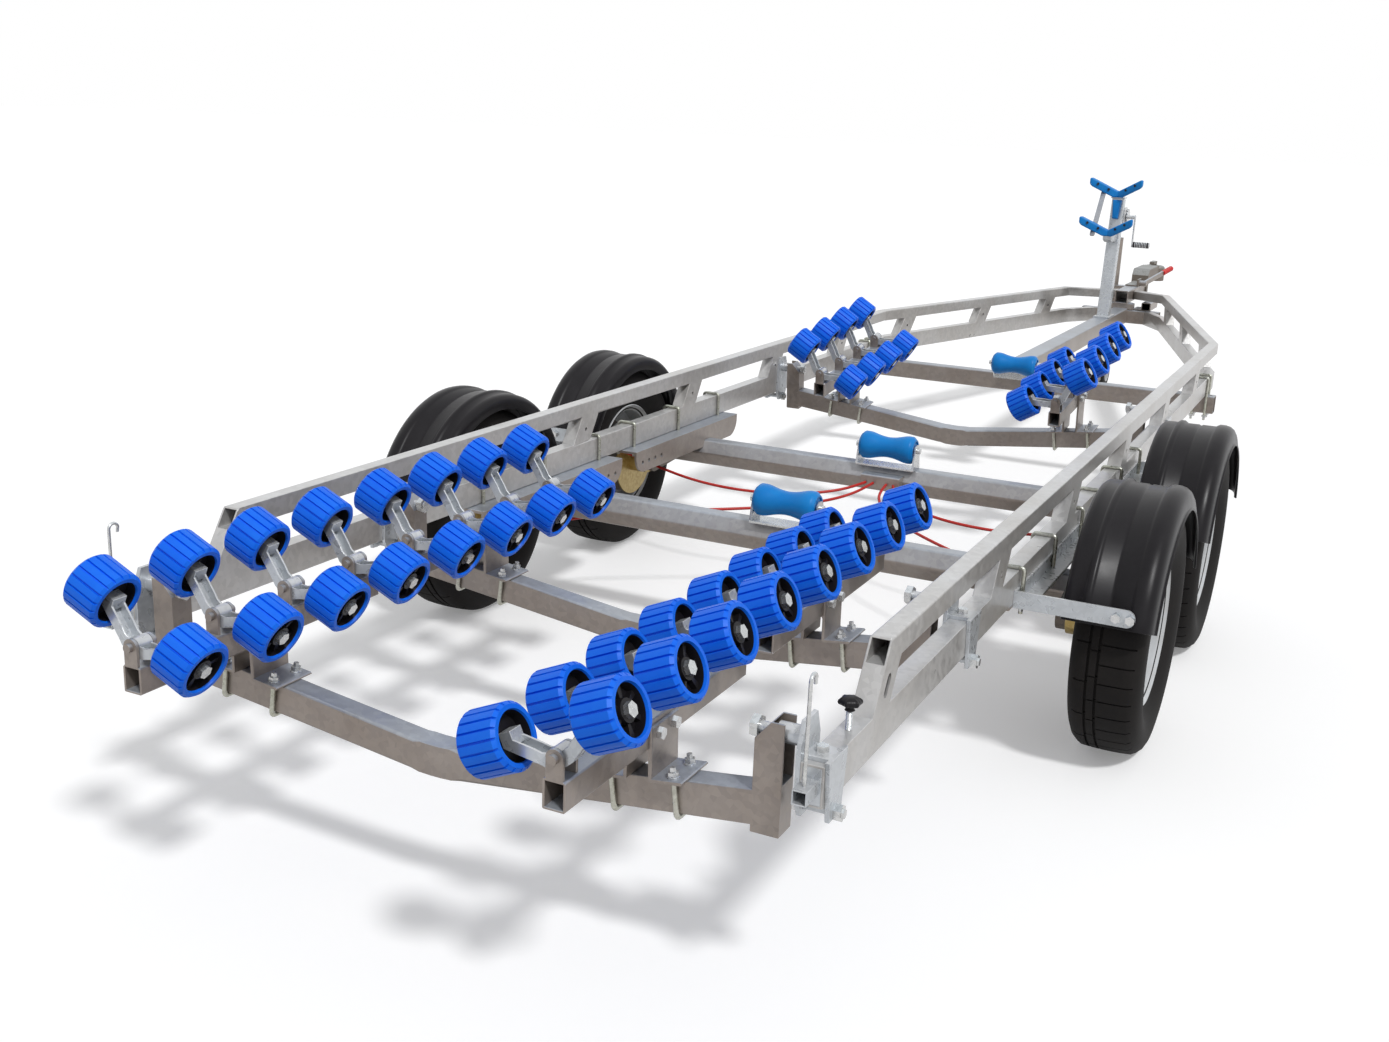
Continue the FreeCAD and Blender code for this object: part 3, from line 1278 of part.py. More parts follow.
socket = fused([rod(V(ball_x, 0, shaft_z - nose_radius - cut_overrun), V(ball_x, 0, ball_z), ball_radius),
                Part.makeSphere(ball_radius, V(ball_x, 0, ball_z))])
grip_base = shaft_z + coupling_half_width + running_gap
grip = block(ball_x - coupling_grip_length, ball_x, -coupling_grip_gap, coupling_grip_gap, grip_base,
             grip_base + coupling_grip_height)
grip_post = block(ball_x - coupling_grip_gap * 2, ball_x, -coupling_grip_gap, coupling_grip_gap,
                  shaft_z + coupling_crown / 2, grip_base)
nodes["coupling_head"] = fused([neck, head, grip, grip_post]).cut(head_bore).cut(socket)

# Handbrake lever lying along the drawbar's right side
lever_foot = V(brake_x, -handbrake_out, brake_z)
rise, out = math.radians(handbrake_rise_angle), math.radians(handbrake_out_angle)
lever_run = V(math.cos(rise) * math.cos(out), -math.cos(rise) * math.sin(out),
              math.sin(rise)) * handbrake_length
lever = fused([box_tube(lever_foot, lever_foot + lever_run, V(0, 1, 0), handbrake_width, handbrake_thickness,
                        handbrake_wall),
               rod(lever_foot - V(0, handbrake_thickness, 0), V(brake_x, bracket_y, brake_z),
                   handbrake_boss_radius)])
nodes["handbrake_lever"] = lever

# Jockey wheel clamped to the drawbar's left side
jockey_x = tandem_x + jockey_reach
jockey_tube_top = jockey_tube_base + jockey_tube_length


def jockey_rod(x, z0, z1, radius):
    return rod(V(x, jockey_y, z0), V(x, jockey_y, z1), radius)


clamp_low, clamp_high = drawbar_base + jockey_clamp_inset, drawbar_top - jockey_clamp_inset
clamp = fused([block(jockey_x - jockey_clamp_radius, jockey_x + jockey_clamp_radius, drawbar_size / 2,
                     jockey_y,
                     clamp_low, clamp_high),
               jockey_rod(jockey_x, clamp_low, clamp_high, jockey_clamp_radius),
               jockey_rod(jockey_x, jockey_tube_base, jockey_tube_top, jockey_tube_radius)])
clamp = clamp.cut(jockey_rod(jockey_x, jockey_tube_base - cut_overrun, jockey_tube_top - jockey_tube_roof,
                             jockey_bore_radius))
crank_base = jockey_tube_top + jockey_crank_rise - jockey_crank_thickness
half_bar = jockey_crank_radius
grip_x = jockey_x - jockey_crank_reach
jockey_crank = [jockey_rod(jockey_x, jockey_tube_top, jockey_tube_top + jockey_crank_rise,
                           jockey_crank_radius),
                block(grip_x, jockey_x, jockey_y - half_bar, jockey_y + half_bar, crank_base,
                      crank_base + jockey_crank_thickness),
                jockey_rod(grip_x, crank_base, crank_base + jockey_grip_length, jockey_grip_radius)]
nodes["jockey_clamp"] = fused([clamp] + jockey_crank)
fork_z = 2 * jockey_wheel_radius + fork_crown_gap
nodes["jockey_stem"] = jockey_rod(jockey_x, fork_z + fork_plate_thickness + seat_gap,
                                  jockey_tube_base + jockey_stem_lap, jockey_stem_radius)
jockey_axle_x = jockey_x - jockey_trail
fork_y = jockey_wheel_width / 2 + fork_gap
fork = [block(jockey_x - fork_half_length, jockey_x + fork_half_length, jockey_y - fork_y - fork_thickness,
              jockey_y + fork_y + fork_thickness, fork_z, fork_z + fork_plate_thickness)]
for sign in (-1, 1):
    y0 = jockey_y + min(sign * fork_y, sign * (fork_y + fork_thickness))
    fork.append(prism([V(jockey_x - fork_half_length, y0, fork_z + fork_plate_thickness),
                       V(jockey_x + fork_half_length, y0, fork_z + fork_plate_thickness),
                       V(jockey_axle_x + fork_foot_half, y0, jockey_wheel_radius - fork_foot_half),
                       V(jockey_axle_x - fork_foot_half, y0, jockey_wheel_radius - fork_foot_half)],
                      V(0, fork_thickness, 0)))
pin_reach = fork_y + 2 * fork_thickness
fork.append(rod(V(jockey_axle_x, jockey_y - pin_reach, jockey_wheel_radius),
                V(jockey_axle_x, jockey_y + pin_reach, jockey_wheel_radius), jockey_axle_radius))
nodes["jockey_fork"] = fused(fork)


def small_wheel(side):
    outline = [(r, -y) for r, y in side] + [(r, y) for r, y in side[::-1]]
    centre = V(jockey_axle_x, jockey_y, jockey_wheel_radius)
    return revolved([centre + V(0, y, r) for r, y in outline], centre)


half_tread = jockey_wheel_width / 2
tread_inner = jockey_wheel_radius - jockey_tread_thickness
tread_round = jockey_tread_thickness / 4
rim_inner = tread_inner - jockey_rim_thickness
nodes["jockey_tyre"] = small_wheel([(tread_inner, half_tread),
                                    (jockey_wheel_radius - tread_round, half_tread),
                                    (jockey_wheel_radius, half_tread - tread_round)])
nodes["jockey_rim"] = small_wheel([(jockey_axle_radius + slide_gap, half_tread + cut_overrun),
                                   (jockey_hub_radius, half_tread + cut_overrun),
                                   (jockey_hub_radius, jockey_disc_half), (rim_inner, jockey_disc_half),
                                   (rim_inner, half_tread), (tread_inner, half_tread)])

# Light-board arms: a square tube in the mouth of each lower rail, and the hooked rod that stands on it
light_tail_x = lower_rail_tail_x - light_arm_overhang


def light_arm():
    z = lower_rail_axis_z
    tube = box_tube(V(light_tail_x, rail_y, z), V(light_tail_x + light_arm_lap, rail_y, z), UP,
                    light_arm_size, light_arm_size, light_arm_wall)
    inner_half_y, inner_half_z = rail_width / 2 - rail_wall, lower_rail_height / 2 - rail_wall
    size = light_arm_size / 2
    collar = block(lower_rail_tail_x, lower_rail_tail_x + light_collar_depth, rail_y - inner_half_y,
                   rail_y + inner_half_y,
                   z - inner_half_z, z + inner_half_z)
    collar = collar.cut(block(light_tail_x, light_tail_x + light_arm_lap, rail_y - size, rail_y + size,
                              z - size, z + size))
    return fused([tube, collar])


def light_hook():
    # Hooked rod standing on the light-board arm.
    hook_x = light_tail_x + hook_inset
    foot_z = lower_rail_axis_z + light_arm_size / 2
    stem = rod(V(hook_x, rail_y, foot_z), V(hook_x, rail_y, hook_top_z), hook_radius)
    knee = Part.makeSphere(hook_radius, V(hook_x, rail_y, hook_top_z))
    bend = rod(V(hook_x, rail_y, hook_top_z), V(hook_x + hook_length, rail_y, hook_top_z), hook_radius)
    elbow = Part.makeSphere(hook_radius, V(hook_x + hook_length, rail_y, hook_top_z))
    tip = rod(V(hook_x + hook_length, rail_y, hook_top_z), V(hook_x + hook_length, rail_y,
                                                             hook_top_z - hook_tip_drop),
              hook_radius)
    return fused([stem, knee, bend, elbow, tip])


def star_knob():
    # Clamping screw through the top of the rail, with a lobed grip.
    x = tandem_x - knob_reach
    stud = rod(V(x, rail_y, lower_rail_top), V(x, rail_y, lower_rail_top + knob_stud_rise), knob_stud_radius)
    base = lower_rail_top + knob_stud_rise
    grip = rod(V(x, rail_y, base), V(x, rail_y, base + knob_height), knob_radius)
    for k in range(knob_lobes):
        turn = 2 * math.pi / knob_lobes * k
        cx, cy = x + knob_hollow_circle * math.cos(turn), rail_y + knob_hollow_circle * math.sin(turn)
        grip = grip.cut(rod(V(cx, cy, base - cut_overrun), V(cx, cy, base + knob_height + cut_overrun),
                            knob_radius / 2))
    return fused([stud, grip])


nodes["light_arms"] = pair(light_arm())
upright_bars = stays + [light_hook()]
nodes["stays_and_hooks"] = Part.makeCompound(upright_bars + [mirrored(b) for b in upright_bars])
nodes["star_knobs"] = pair(star_knob())

# Brake cables from the anchor on the front axle to each drum, on routes measured from
# the point midway between the axles
rear_cable_points = [(471.7, 22, 322), (380, 30, 316), (290, 66, 306), (205, 132, 297), (128, 214, 291),
                     (58, 304, 287),
                     (-8, 398, 284), (-72, 494, 280), (-140, 588, 274), (-212, 672, 266), (-284, 744, 257),
                     (-342, 800, 249), (-371, 855.6, 245)]
front_cable_points = [(470.4, 46, 322), (412, 70, 314), (352, 124, 304), (306, 198, 296), (276, 284, 291),
                      (262, 378, 289), (262, 474, 290), (276, 568, 294), (300, 652, 300), (326, 730, 308),
                      (346, 800, 317), (360, 856.4, 326)]


def cable(points, side):
    # Straight runs joined by arcs that stay tangent to them.
    stops = [V(tandem_x + x, side * y, z) for x, y, z in points]
    edges, start, radii = [], stops[0], []
    for before, here, after in zip(stops, stops[1:], stops[2:]):
        back, ahead = before - here, after - here
        turn = math.pi - back.getAngle(ahead)
        trim = 0.45 * min(back.Length, ahead.Length)
        radius = trim / math.tan(turn / 2)
        radii.append(radius)
        first = here + back.normalize() * trim
        last = here + ahead.normalize() * trim
        bisector = (first + last) * 0.5 - here
        middle = here + bisector.normalize() * (radius / math.cos(turn / 2) - radius)
        edges.append(Part.LineSegment(start, first).toShape())
        edges.append(Part.Arc(first, middle, last).toShape())
        start = last
    edges.append(Part.LineSegment(start, stops[-1]).toShape())
    print("cable bend radii from", round(min(radii)), "to", round(max(radii)),
          "length", round(sum(e.Length for e in edges)))
    path = Part.Wire(edges)
    circle = Part.Wire(Part.makeCircle(cable_radius, stops[0], stops[1] - stops[0]))
    return path.makePipeShell([circle], True, False)


for name, points in (("rear", rear_cable_points), ("front", front_cable_points)):
    for side_name, side in (("left", 1), ("right", -1)):
        nodes["cable_" + name + "_" + side_name] = cable(points, side)

for name, shape in nodes.items():
    shape.exportStep("parts/" + name + ".step")
    if not shape.isValid():
        print("not valid:", name)
print("nodes", len(nodes))
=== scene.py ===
import json
import math
import bpy
from mathutils import Matrix, Vector


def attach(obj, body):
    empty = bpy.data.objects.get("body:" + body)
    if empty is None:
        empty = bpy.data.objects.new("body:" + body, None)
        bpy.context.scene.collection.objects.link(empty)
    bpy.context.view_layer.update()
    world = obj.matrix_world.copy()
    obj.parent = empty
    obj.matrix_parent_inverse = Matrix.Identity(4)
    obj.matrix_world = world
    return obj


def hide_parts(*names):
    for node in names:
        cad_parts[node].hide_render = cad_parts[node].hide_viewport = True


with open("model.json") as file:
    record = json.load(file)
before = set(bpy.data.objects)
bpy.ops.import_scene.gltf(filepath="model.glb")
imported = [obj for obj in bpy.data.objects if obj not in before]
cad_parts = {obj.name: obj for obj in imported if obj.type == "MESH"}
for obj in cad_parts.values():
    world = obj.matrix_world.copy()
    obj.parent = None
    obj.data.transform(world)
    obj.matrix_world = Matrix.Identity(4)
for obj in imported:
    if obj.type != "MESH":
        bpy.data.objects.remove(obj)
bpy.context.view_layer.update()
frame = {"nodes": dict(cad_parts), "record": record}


def make_camera():
    yaw, pitch, roll = math.radians(25.89), math.radians(15.79), math.radians(2.32)
    ahead = Vector((math.cos(yaw) * math.cos(pitch), math.sin(yaw) * math.cos(pitch), -math.sin(pitch)))
    right = Vector((math.sin(yaw), -math.cos(yaw), 0.0))
    up = right.cross(ahead)
    across = right * math.cos(roll) + up * math.sin(roll)
    over = up * math.cos(roll) - right * math.sin(roll)
    lens = bpy.data.cameras.new("photo_camera")
    lens.sensor_width = 36.0
    lens.lens = 36.0 * 1450.0 / 1389.0
    lens.clip_end = 100.0
    camera = bpy.data.objects.new("photo_camera", lens)
    bpy.context.scene.collection.objects.link(camera)
    turn = Matrix((across, over, -ahead)).transposed().to_4x4()
    camera.matrix_world = Matrix.Translation(Vector((tandem - 3.817, -1.433, 1.443))) @ turn
    bpy.context.scene.camera = camera


# The point midway between the axles, and the stations measured from it, in metres
tandem = -1.601
wheel_stations = {"rear": tandem - 0.415, "front": tandem + 0.415}
cradle_stations = {"rear": (tandem - 1.860, 0.0, 0.0), "mid": (tandem - 1.100, 0.0, 0.0),
                   "front": (tandem + 1.285, 0.060, 6.0)}
pivot_height = 0.512
bank_tilts = {"rear": 24.0, "mid": 24.0, "front": 32.0}
bank_pivot_rise, roller_rise = 0.034, 0.041
make_camera()


# Brake cables, on the same routes as their solids
rear_cable_route = [(0.4717, 0.022, 0.322), (0.380, 0.030, 0.316), (0.290, 0.066, 0.306), (0.205, 0.132, 0.297),
                    (0.128, 0.214, 0.291), (0.058, 0.304, 0.287), (-0.008, 0.398, 0.284), (-0.072, 0.494, 0.280),
                    (-0.140, 0.588, 0.274), (-0.212, 0.672, 0.266), (-0.284, 0.744, 0.257), (-0.342, 0.800, 0.249),
                    (-0.371, 0.8556, 0.245)]
front_cable_route = [(0.4704, 0.046, 0.322), (0.412, 0.070, 0.314), (0.352, 0.124, 0.304), (0.306, 0.198, 0.296),
                     (0.276, 0.284, 0.291), (0.262, 0.378, 0.289), (0.262, 0.474, 0.290), (0.276, 0.568, 0.294),
                     (0.300, 0.652, 0.300), (0.326, 0.730, 0.308), (0.346, 0.800, 0.317), (0.360, 0.8564, 0.326)]


def brake_cable(end, side, route):
    name = "cable_" + end + "_" + side
    sign = 1.0 if side == "left" else -1.0
    line = bpy.data.curves.new("brake_" + name, "CURVE")
    line.dimensions = "3D"
    line.bevel_depth = 0.0045
    line.bevel_resolution = 3
    line.resolution_u = 8
    line.use_fill_caps = True
    spline = line.splines.new("NURBS")
    spline.points.add(len(route) - 1)
    for point, (x, y, z) in zip(spline.points, route):
        point.co = (tandem + x, sign * y, z, 1.0)
    spline.order_u = 3
    spline.use_endpoint_u = True
    cord = bpy.data.objects.new("brake_" + name, line)
    bpy.context.scene.collection.objects.link(cord)
    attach(cord, "frame")
    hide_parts(name)
    x, y, z = route[0]
    cord.data.materials.append(cable_red)
    return cord


def shader_nodes(material):
    tree = material.node_tree
    return tree, tree.nodes["Principled BSDF"]


def new_material(name, colour, roughness, metallic=0.0):
    material = bpy.data.materials.new(name)
    material.use_nodes = True
    tree, shader = shader_nodes(material)
    shader.inputs["Base Color"].default_value = (*colour, 1.0)
    shader.inputs["Roughness"].default_value = roughness
    shader.inputs["Metallic"].default_value = metallic
    return material


def add_texture(tree, kind, scale, **settings):
    coords = tree.nodes.new("ShaderNodeTexCoord")
    texture = tree.nodes.new(kind)
    tree.links.new(coords.outputs["Object"], texture.inputs["Vector"])
    texture.inputs["Scale"].default_value = scale
    for key, value in settings.items():
        texture.inputs[key].default_value = value
    return texture


def blend_colours(tree, factor, low, high, start=0.0, end=1.0):
    ramp = tree.nodes.new("ShaderNodeValToRGB")
    ramp.color_ramp.elements[0].position = start
    ramp.color_ramp.elements[1].position = end
    ramp.color_ramp.elements[0].color = (*low, 1.0)
    ramp.color_ramp.elements[1].color = (*high, 1.0)
    tree.links.new(factor, ramp.inputs["Fac"])
    return ramp.outputs["Color"]


def vary_roughness(tree, shader, factor, low, high):
    spread = tree.nodes.new("ShaderNodeMapRange")
    spread.inputs["To Min"].default_value = low
    spread.inputs["To Max"].default_value = high
    tree.links.new(factor, spread.inputs["Value"])
    tree.links.new(spread.outputs["Result"], shader.inputs["Roughness"])


def add_bump(tree, shader, height, strength, distance):
    bump = tree.nodes.new("ShaderNodeBump")
    bump.inputs["Strength"].default_value = strength
    bump.inputs["Distance"].default_value = distance
    tree.links.new(height, bump.inputs["Height"])
    tree.links.new(bump.outputs["Normal"], shader.inputs["Normal"])


def zinc_finish(name, dark, light, rough, metallic, crystal_scale, stain, shaded_flank, top=(0.93, 0.97, 1.0)):
    # Dipped zinc: faint crystal facets under a cloudy bloom. Painted sky reflection makes upward faces lighter and
    # bluer, and painted ground reflection and shade make the flanks darker.
    material = new_material(name, light, rough, metallic)
    tree, shader = shader_nodes(material)
    crystals = add_texture(tree, "ShaderNodeTexVoronoi", crystal_scale, Randomness=1.0)
    facets = blend_colours(tree, crystals.outputs["Color"], dark, light, 0.15, 0.85)
    cloud = add_texture(tree, "ShaderNodeTexNoise", 5.0, Detail=5.0, Roughness=0.6)
    bloom = blend_colours(tree, cloud.outputs["Fac"], stain, (1.0, 1.0, 1.0), 0.3, 0.62)
    coords = tree.nodes.new("ShaderNodeTexCoord")
    upward = tree.nodes.new("ShaderNodeSeparateXYZ")
    tree.links.new(coords.outputs["Normal"], upward.inputs["Vector"])
    slope = tree.nodes.new("ShaderNodeMapRange")
    slope.inputs["From Min"].default_value = 0.05
    slope.inputs["From Max"].default_value = 0.85
    tree.links.new(upward.outputs["Z"], slope.inputs["Value"])
    # Painted light: the colour runs from the flank tint on upright faces to the top tint on upward faces, a painted sky
    # reflection on top and painted ground reflection and shade on the flanks.
    painted_sky_and_ground_tint = blend_colours(tree, slope.outputs["Result"], shaded_flank, top)
    tone = facets
    for layer in (bloom, painted_sky_and_ground_tint):
        mix = tree.nodes.new("ShaderNodeMix")
        mix.data_type = "RGBA"
        mix.blend_type = "MULTIPLY"
        mix.inputs["Factor"].default_value = 1.0
        tree.links.new(tone, mix.inputs["A"])
        tree.links.new(layer, mix.inputs["B"])
        tone = mix.outputs["Result"]
    tree.links.new(tone, shader.inputs["Base Color"])
    vary_roughness(tree, shader, crystals.outputs["Color"], rough - 0.05, rough + 0.06)
    grain = add_texture(tree, "ShaderNodeTexNoise", 220.0, Detail=4.0)
    add_bump(tree, shader, grain.outputs["Fac"], 0.12, 0.0008)
    return material


def moulded_finish(name, colour, worn, rough, grain_scale, grain_depth, shine=0.5):
    # Moulded rubber or plastic with a fine skin and dusty, paler patches.
    material = new_material(name, colour, rough)
    tree, shader = shader_nodes(material)
    shader.inputs["Specular IOR Level"].default_value = shine
    dust = add_texture(tree, "ShaderNodeTexNoise", 14.0, Detail=6.0, Roughness=0.65)
    tree.links.new(blend_colours(tree, dust.outputs["Fac"], colour, worn, 0.42, 0.85), shader.inputs["Base Color"])
    vary_roughness(tree, shader, dust.outputs["Fac"], rough - 0.08, rough + 0.12)
    skin = add_texture(tree, "ShaderNodeTexNoise", grain_scale, Detail=3.0)
    add_bump(tree, shader, skin.outputs["Fac"], 0.25, grain_depth)
    return material


# Flank and top tints for the zinc: painted ground reflection and shade on the flanks, painted sky reflection on the
# tops.
painted_ground_flank, light_painted_flank, painted_sky_top = (0.58, 0.50, 0.44), (0.84, 0.83, 0.82), (0.74, 0.79, 0.86)
dipped_zinc = zinc_finish("dipped_zinc", (0.49, 0.50, 0.52), (0.58, 0.59, 0.60), 0.36, 0.45, 85.0,
                          (0.84, 0.81, 0.78), painted_ground_flank, painted_sky_top)
rail_zinc = zinc_finish("rail_zinc", (0.56, 0.565, 0.57), (0.65, 0.655, 0.66), 0.32, 0.45, 80.0,
                        (0.86, 0.84, 0.81), (0.82, 0.80, 0.78), (1.0, 1.0, 1.0))
plate_zinc = zinc_finish("plate_zinc", (0.57, 0.59, 0.61), (0.66, 0.68, 0.70), 0.30, 0.5, 110.0,
                         (0.88, 0.87, 0.86), (0.86, 0.88, 0.90), (1.0, 1.0, 1.0))
bright_zinc = zinc_finish("bright_zinc", (0.62, 0.63, 0.64), (0.76, 0.77, 0.78), 0.26, 0.8, 160.0,
                          (0.9, 0.9, 0.88), light_painted_flank)
dull_cast = zinc_finish("dull_cast", (0.30, 0.30, 0.29), (0.40, 0.40, 0.39), 0.55, 0.4, 240.0,
                        (0.7, 0.66, 0.6), painted_ground_flank)
bolt_zinc = zinc_finish("bolt_zinc", (0.46, 0.46, 0.40), (0.60, 0.60, 0.54), 0.30, 0.75, 180.0,
                        (0.9, 0.92, 0.86), light_painted_flank)
gold_zinc = zinc_finish("gold_zinc", (0.42, 0.30, 0.10), (0.56, 0.44, 0.20), 0.34, 0.7, 120.0,
                        (0.75, 0.72, 0.6), light_painted_flank)
rim_silver = moulded_finish("rim_silver", (0.56, 0.58, 0.60), (0.44, 0.44, 0.43), 0.34, 260.0, 0.0003)
roller_blue = moulded_finish("roller_blue", (0.003, 0.14, 0.84), (0.008, 0.18, 0.88), 0.42, 300.0, 0.0004, 0.22)
keel_blue = moulded_finish("keel_blue", (0.003, 0.20, 0.60), (0.010, 0.26, 0.68), 0.36, 260.0, 0.0004, 0.25)
black_plastic = moulded_finish("black_plastic", (0.010, 0.009, 0.011), (0.016, 0.015, 0.017), 0.32, 420.0, 0.0003, 0.17)
black_rubber = moulded_finish("black_rubber", (0.014, 0.014, 0.014), (0.040, 0.038, 0.036), 0.72, 500.0, 0.0005, 0.3)
tyre_rubber = moulded_finish("tyre_rubber", (0.007, 0.006, 0.006), (0.018, 0.016, 0.015), 0.74, 350.0, 0.0006, 0.2)
cable_red = moulded_finish("cable_red", (0.50, 0.02, 0.015), (0.58, 0.06, 0.05), 0.42, 500.0, 0.0003, 0.35)
grip_red = moulded_finish("grip_red", (0.60, 0.02, 0.02), (0.65, 0.07, 0.06), 0.4, 500.0, 0.0003, 0.35)


def node_finish(name):
    if name.startswith("tyre_"):
        return tyre_rubber
    if name.startswith("rim_") or name == "jockey_rim":
        return rim_silver
    if name.startswith("bank_rollers"):
        return roller_blue
    if name.startswith("keel_roller_") or name == "bow_blocks":
        return keel_blue
    if name in ("side_trusses", "nose_trusses"):
        return rail_zinc
    if name in ("mudguards", "star_knobs"):
        return black_plastic
    if name == "jockey_tyre":
        return black_rubber
    if name in ("coupling_head", "overrun_housing", "trailing_arms"):
        return dull_cast
    if name == "brake_backplates":
        return gold_zinc
    if name in ("winch_frame", "winch_drum", "keel_brackets", "jockey_stem", "jockey_fork"):
        return bright_zinc
    if name in ("winch_post", "stays_and_hooks", "light_arms", "cradle_hangers") or name.startswith("bank_arms_"):
        return plate_zinc
    if name.startswith("cable_"):
        return cable_red
    return dipped_zinc


for name in frame["nodes"]:
    solid = bpy.data.objects[name]
    if not solid.material_slots:
        solid.data.materials.append(node_finish(name))
    for slot in solid.material_slots:
        slot.material = node_finish(name)

brake_cable("rear", "left", rear_cable_route)
brake_cable("rear", "right", rear_cable_route)
brake_cable("front", "left", front_cable_route)
brake_cable("front", "right", front_cable_route)


# Modelling: a shape is started at the origin, shaped in edit mode and then placed
def edit_faces(piece, wanted):
    # Selects the faces that wanted(centre, normal) accepts, ready for an operator.
    bpy.ops.object.mode_set(mode="OBJECT")
    mesh = piece.data
    for vertex in mesh.vertices:
        vertex.select = False
    for edge in mesh.edges:
        edge.select = False
    for face in mesh.polygons:
        face.select = bool(wanted(face.center, face.normal))
    bpy.ops.object.mode_set(mode="EDIT")


def edit_points(piece, wanted):
    bpy.ops.object.mode_set(mode="OBJECT")
    mesh = piece.data
    for edge in mesh.edges:
        edge.select = False
    for face in mesh.polygons:
        face.select = False
    for vertex in mesh.vertices:
        vertex.select = bool(wanted(vertex.co))
    bpy.ops.object.mode_set(mode="EDIT")


def edit_edges(piece, wanted):
    bpy.ops.object.mode_set(mode="OBJECT")
    mesh = piece.data
    for vertex in mesh.vertices:
        vertex.select = False
    for face in mesh.polygons:
        face.select = False
    for edge in mesh.edges:
        a, b = (mesh.vertices[k].co for k in edge.vertices)
        edge.select = bool(wanted(a, b))
    bpy.ops.object.mode_set(mode="EDIT")


def start_edit(select_mode="FACE"):
    bpy.ops.object.mode_set(mode="EDIT")
    bpy.ops.mesh.select_mode(type=select_mode)


def end_edit():
    bpy.ops.object.mode_set(mode="OBJECT")
    return bpy.context.object


def add_cylinder(sides, radius, depth, centre=(0, 0, 0)):
    bpy.ops.object.select_all(action="DESELECT")
    bpy.ops.mesh.primitive_cylinder_add(vertices=sides, radius=radius, depth=depth, location=centre,
                                        end_fill_type="NGON")
    return bpy.context.object


def ready_mesh(piece, smooth_angle=35.0):
    # Applies the transform and takes the finished mesh away from its object.
    bpy.ops.object.select_all(action="DESELECT")
    piece.select_set(True)
    bpy.context.view_layer.objects.active = piece
    bpy.ops.object.transform_apply(location=True, rotation=True, scale=True)
    bpy.ops.object.shade_smooth_by_angle(angle=math.radians(smooth_angle))
    mesh = piece.data
    bpy.data.objects.remove(piece)
    return mesh


def join_copies(name, copies):
    # Copies of meshes, each with its own place, joined to one object at the origin.
    bpy.ops.object.select_all(action="DESELECT")
    holders = []
    for mesh, place in copies:
        copy = mesh.copy()
        copy.transform(place)
        holder = bpy.data.objects.new(name, copy)
        bpy.context.scene.collection.objects.link(holder)
        holders.append(holder)
    for holder in holders:
        holder.select_set(True)
    bpy.context.view_layer.objects.active = holders[0]
    if len(holders) > 1:
        bpy.ops.object.join()
    piece = holders[0]
    piece.name = name
    return piece


def pose_matrix(centre, along_z, near_x):
    z = Vector(along_z).normalized()
    y = z.cross(Vector(near_x)).normalized()
    x = y.cross(z)
    turn = Matrix((x, y, z)).transposed().to_4x4()
    return Matrix.Translation(Vector(centre)) @ turn


# Corners of the steelwork: long outward corners of tube get the tube's own radius, and every edge is eased
def edge_neighbours(mesh):
    neighbours = {}
    for face in mesh.polygons:
        for key in face.edge_keys:
            neighbours.setdefault(key, []).append(face)
    return neighbours


def outward_corner(edge, faces, mesh, least_turn):
    if len(faces) != 2 or faces[0].normal.dot(faces[1].normal) > math.cos(least_turn):
        return False
    corners = list(faces[0].vertices)
    first, second = edge.vertices
    along = (mesh.vertices[second].co - mesh.vertices[first].co).normalized()
    if corners[(corners.index(first) + 1) % len(corners)] != second:
        along = -along
    return faces[0].normal.cross(along).dot(faces[1].normal) < -0.001


def ease_corners(piece, shortest, least_turn, radius, segments):
    bpy.ops.object.mode_set(mode="OBJECT")
    mesh = piece.data
    neighbours = edge_neighbours(mesh)
    for vertex in mesh.vertices:
        vertex.select = False
    for face in mesh.polygons:
        face.select = False
    for edge in mesh.edges:
        a, b = (mesh.vertices[k].co for k in edge.vertices)
        edge.select = (a - b).length > shortest and outward_corner(
            edge, neighbours.get(tuple(sorted(edge.vertices)), []), mesh, least_turn)
    bpy.ops.object.mode_set(mode="EDIT")
    bpy.ops.mesh.bevel(offset=radius, segments=segments, affect="EDGES")


def tube_radius(name):
    if name in ("side_trusses", "nose_trusses", "winch_post"):
        return 0.005
    if name in ("crossbars", "spine", "drawbar", "axle_tubes", "cradle_rear", "cradle_mid", "cradle_front"):
        return 0.006
    if name.startswith("roller_beams"):
        return 0.004
    return 0.0


def folded_region(mesh):
    # The flat faces round the first many-sided one that an eased corner has folded over itself.
    mesh.calc_loop_triangles()
    covered = [0.0] * len(mesh.polygons)
    for triangle in mesh.loop_triangles:
        covered[triangle.polygon_index] += triangle.area
    folded = [face for face, cover in zip(mesh.polygons, covered)
              if len(face.vertices) > 6 and cover - face.area > 0.00001]
    if not folded:
        return []
    neighbours = edge_neighbours(mesh)
    normal, centre = folded[0].normal.copy(), mesh.vertices[folded[0].vertices[0]].co.copy()
    region, waiting = {folded[0].index}, [folded[0]]
    while waiting:
        for key in waiting.pop().edge_keys:
            for face in neighbours[key]:
                flat = all(abs((mesh.vertices[k].co - centre).dot(normal)) < 0.00002 for k in face.vertices)
                if flat and face.index not in region:
                    region.add(face.index)
                    waiting.append(face)
    return sorted(region)


def mend_folds(piece):
    # A folded flat region is taken out and filled again between its outline and its holes.
    for _ in range(40):
        region = folded_region(piece.data)
        if not region:
            return
        chosen = set(region)
        for vertex in piece.data.vertices:
            vertex.select = False
        for edge in piece.data.edges:
            edge.select = False
        for face in piece.data.polygons:
            face.select = face.index in chosen
        start_edit("FACE")
        bpy.ops.mesh.delete(type="FACE")
        bpy.ops.mesh.select_mode(type="EDGE")
        bpy.ops.mesh.select_non_manifold(extend=False, use_wire=False, use_boundary=True, use_multi_face=False,
                                         use_non_contiguous=False, use_verts=False)
        bpy.ops.mesh.fill(use_beauty=False)
        bpy.ops.mesh.select_all(action="SELECT")
        bpy.ops.mesh.normals_make_consistent(inside=False)
        end_edit()


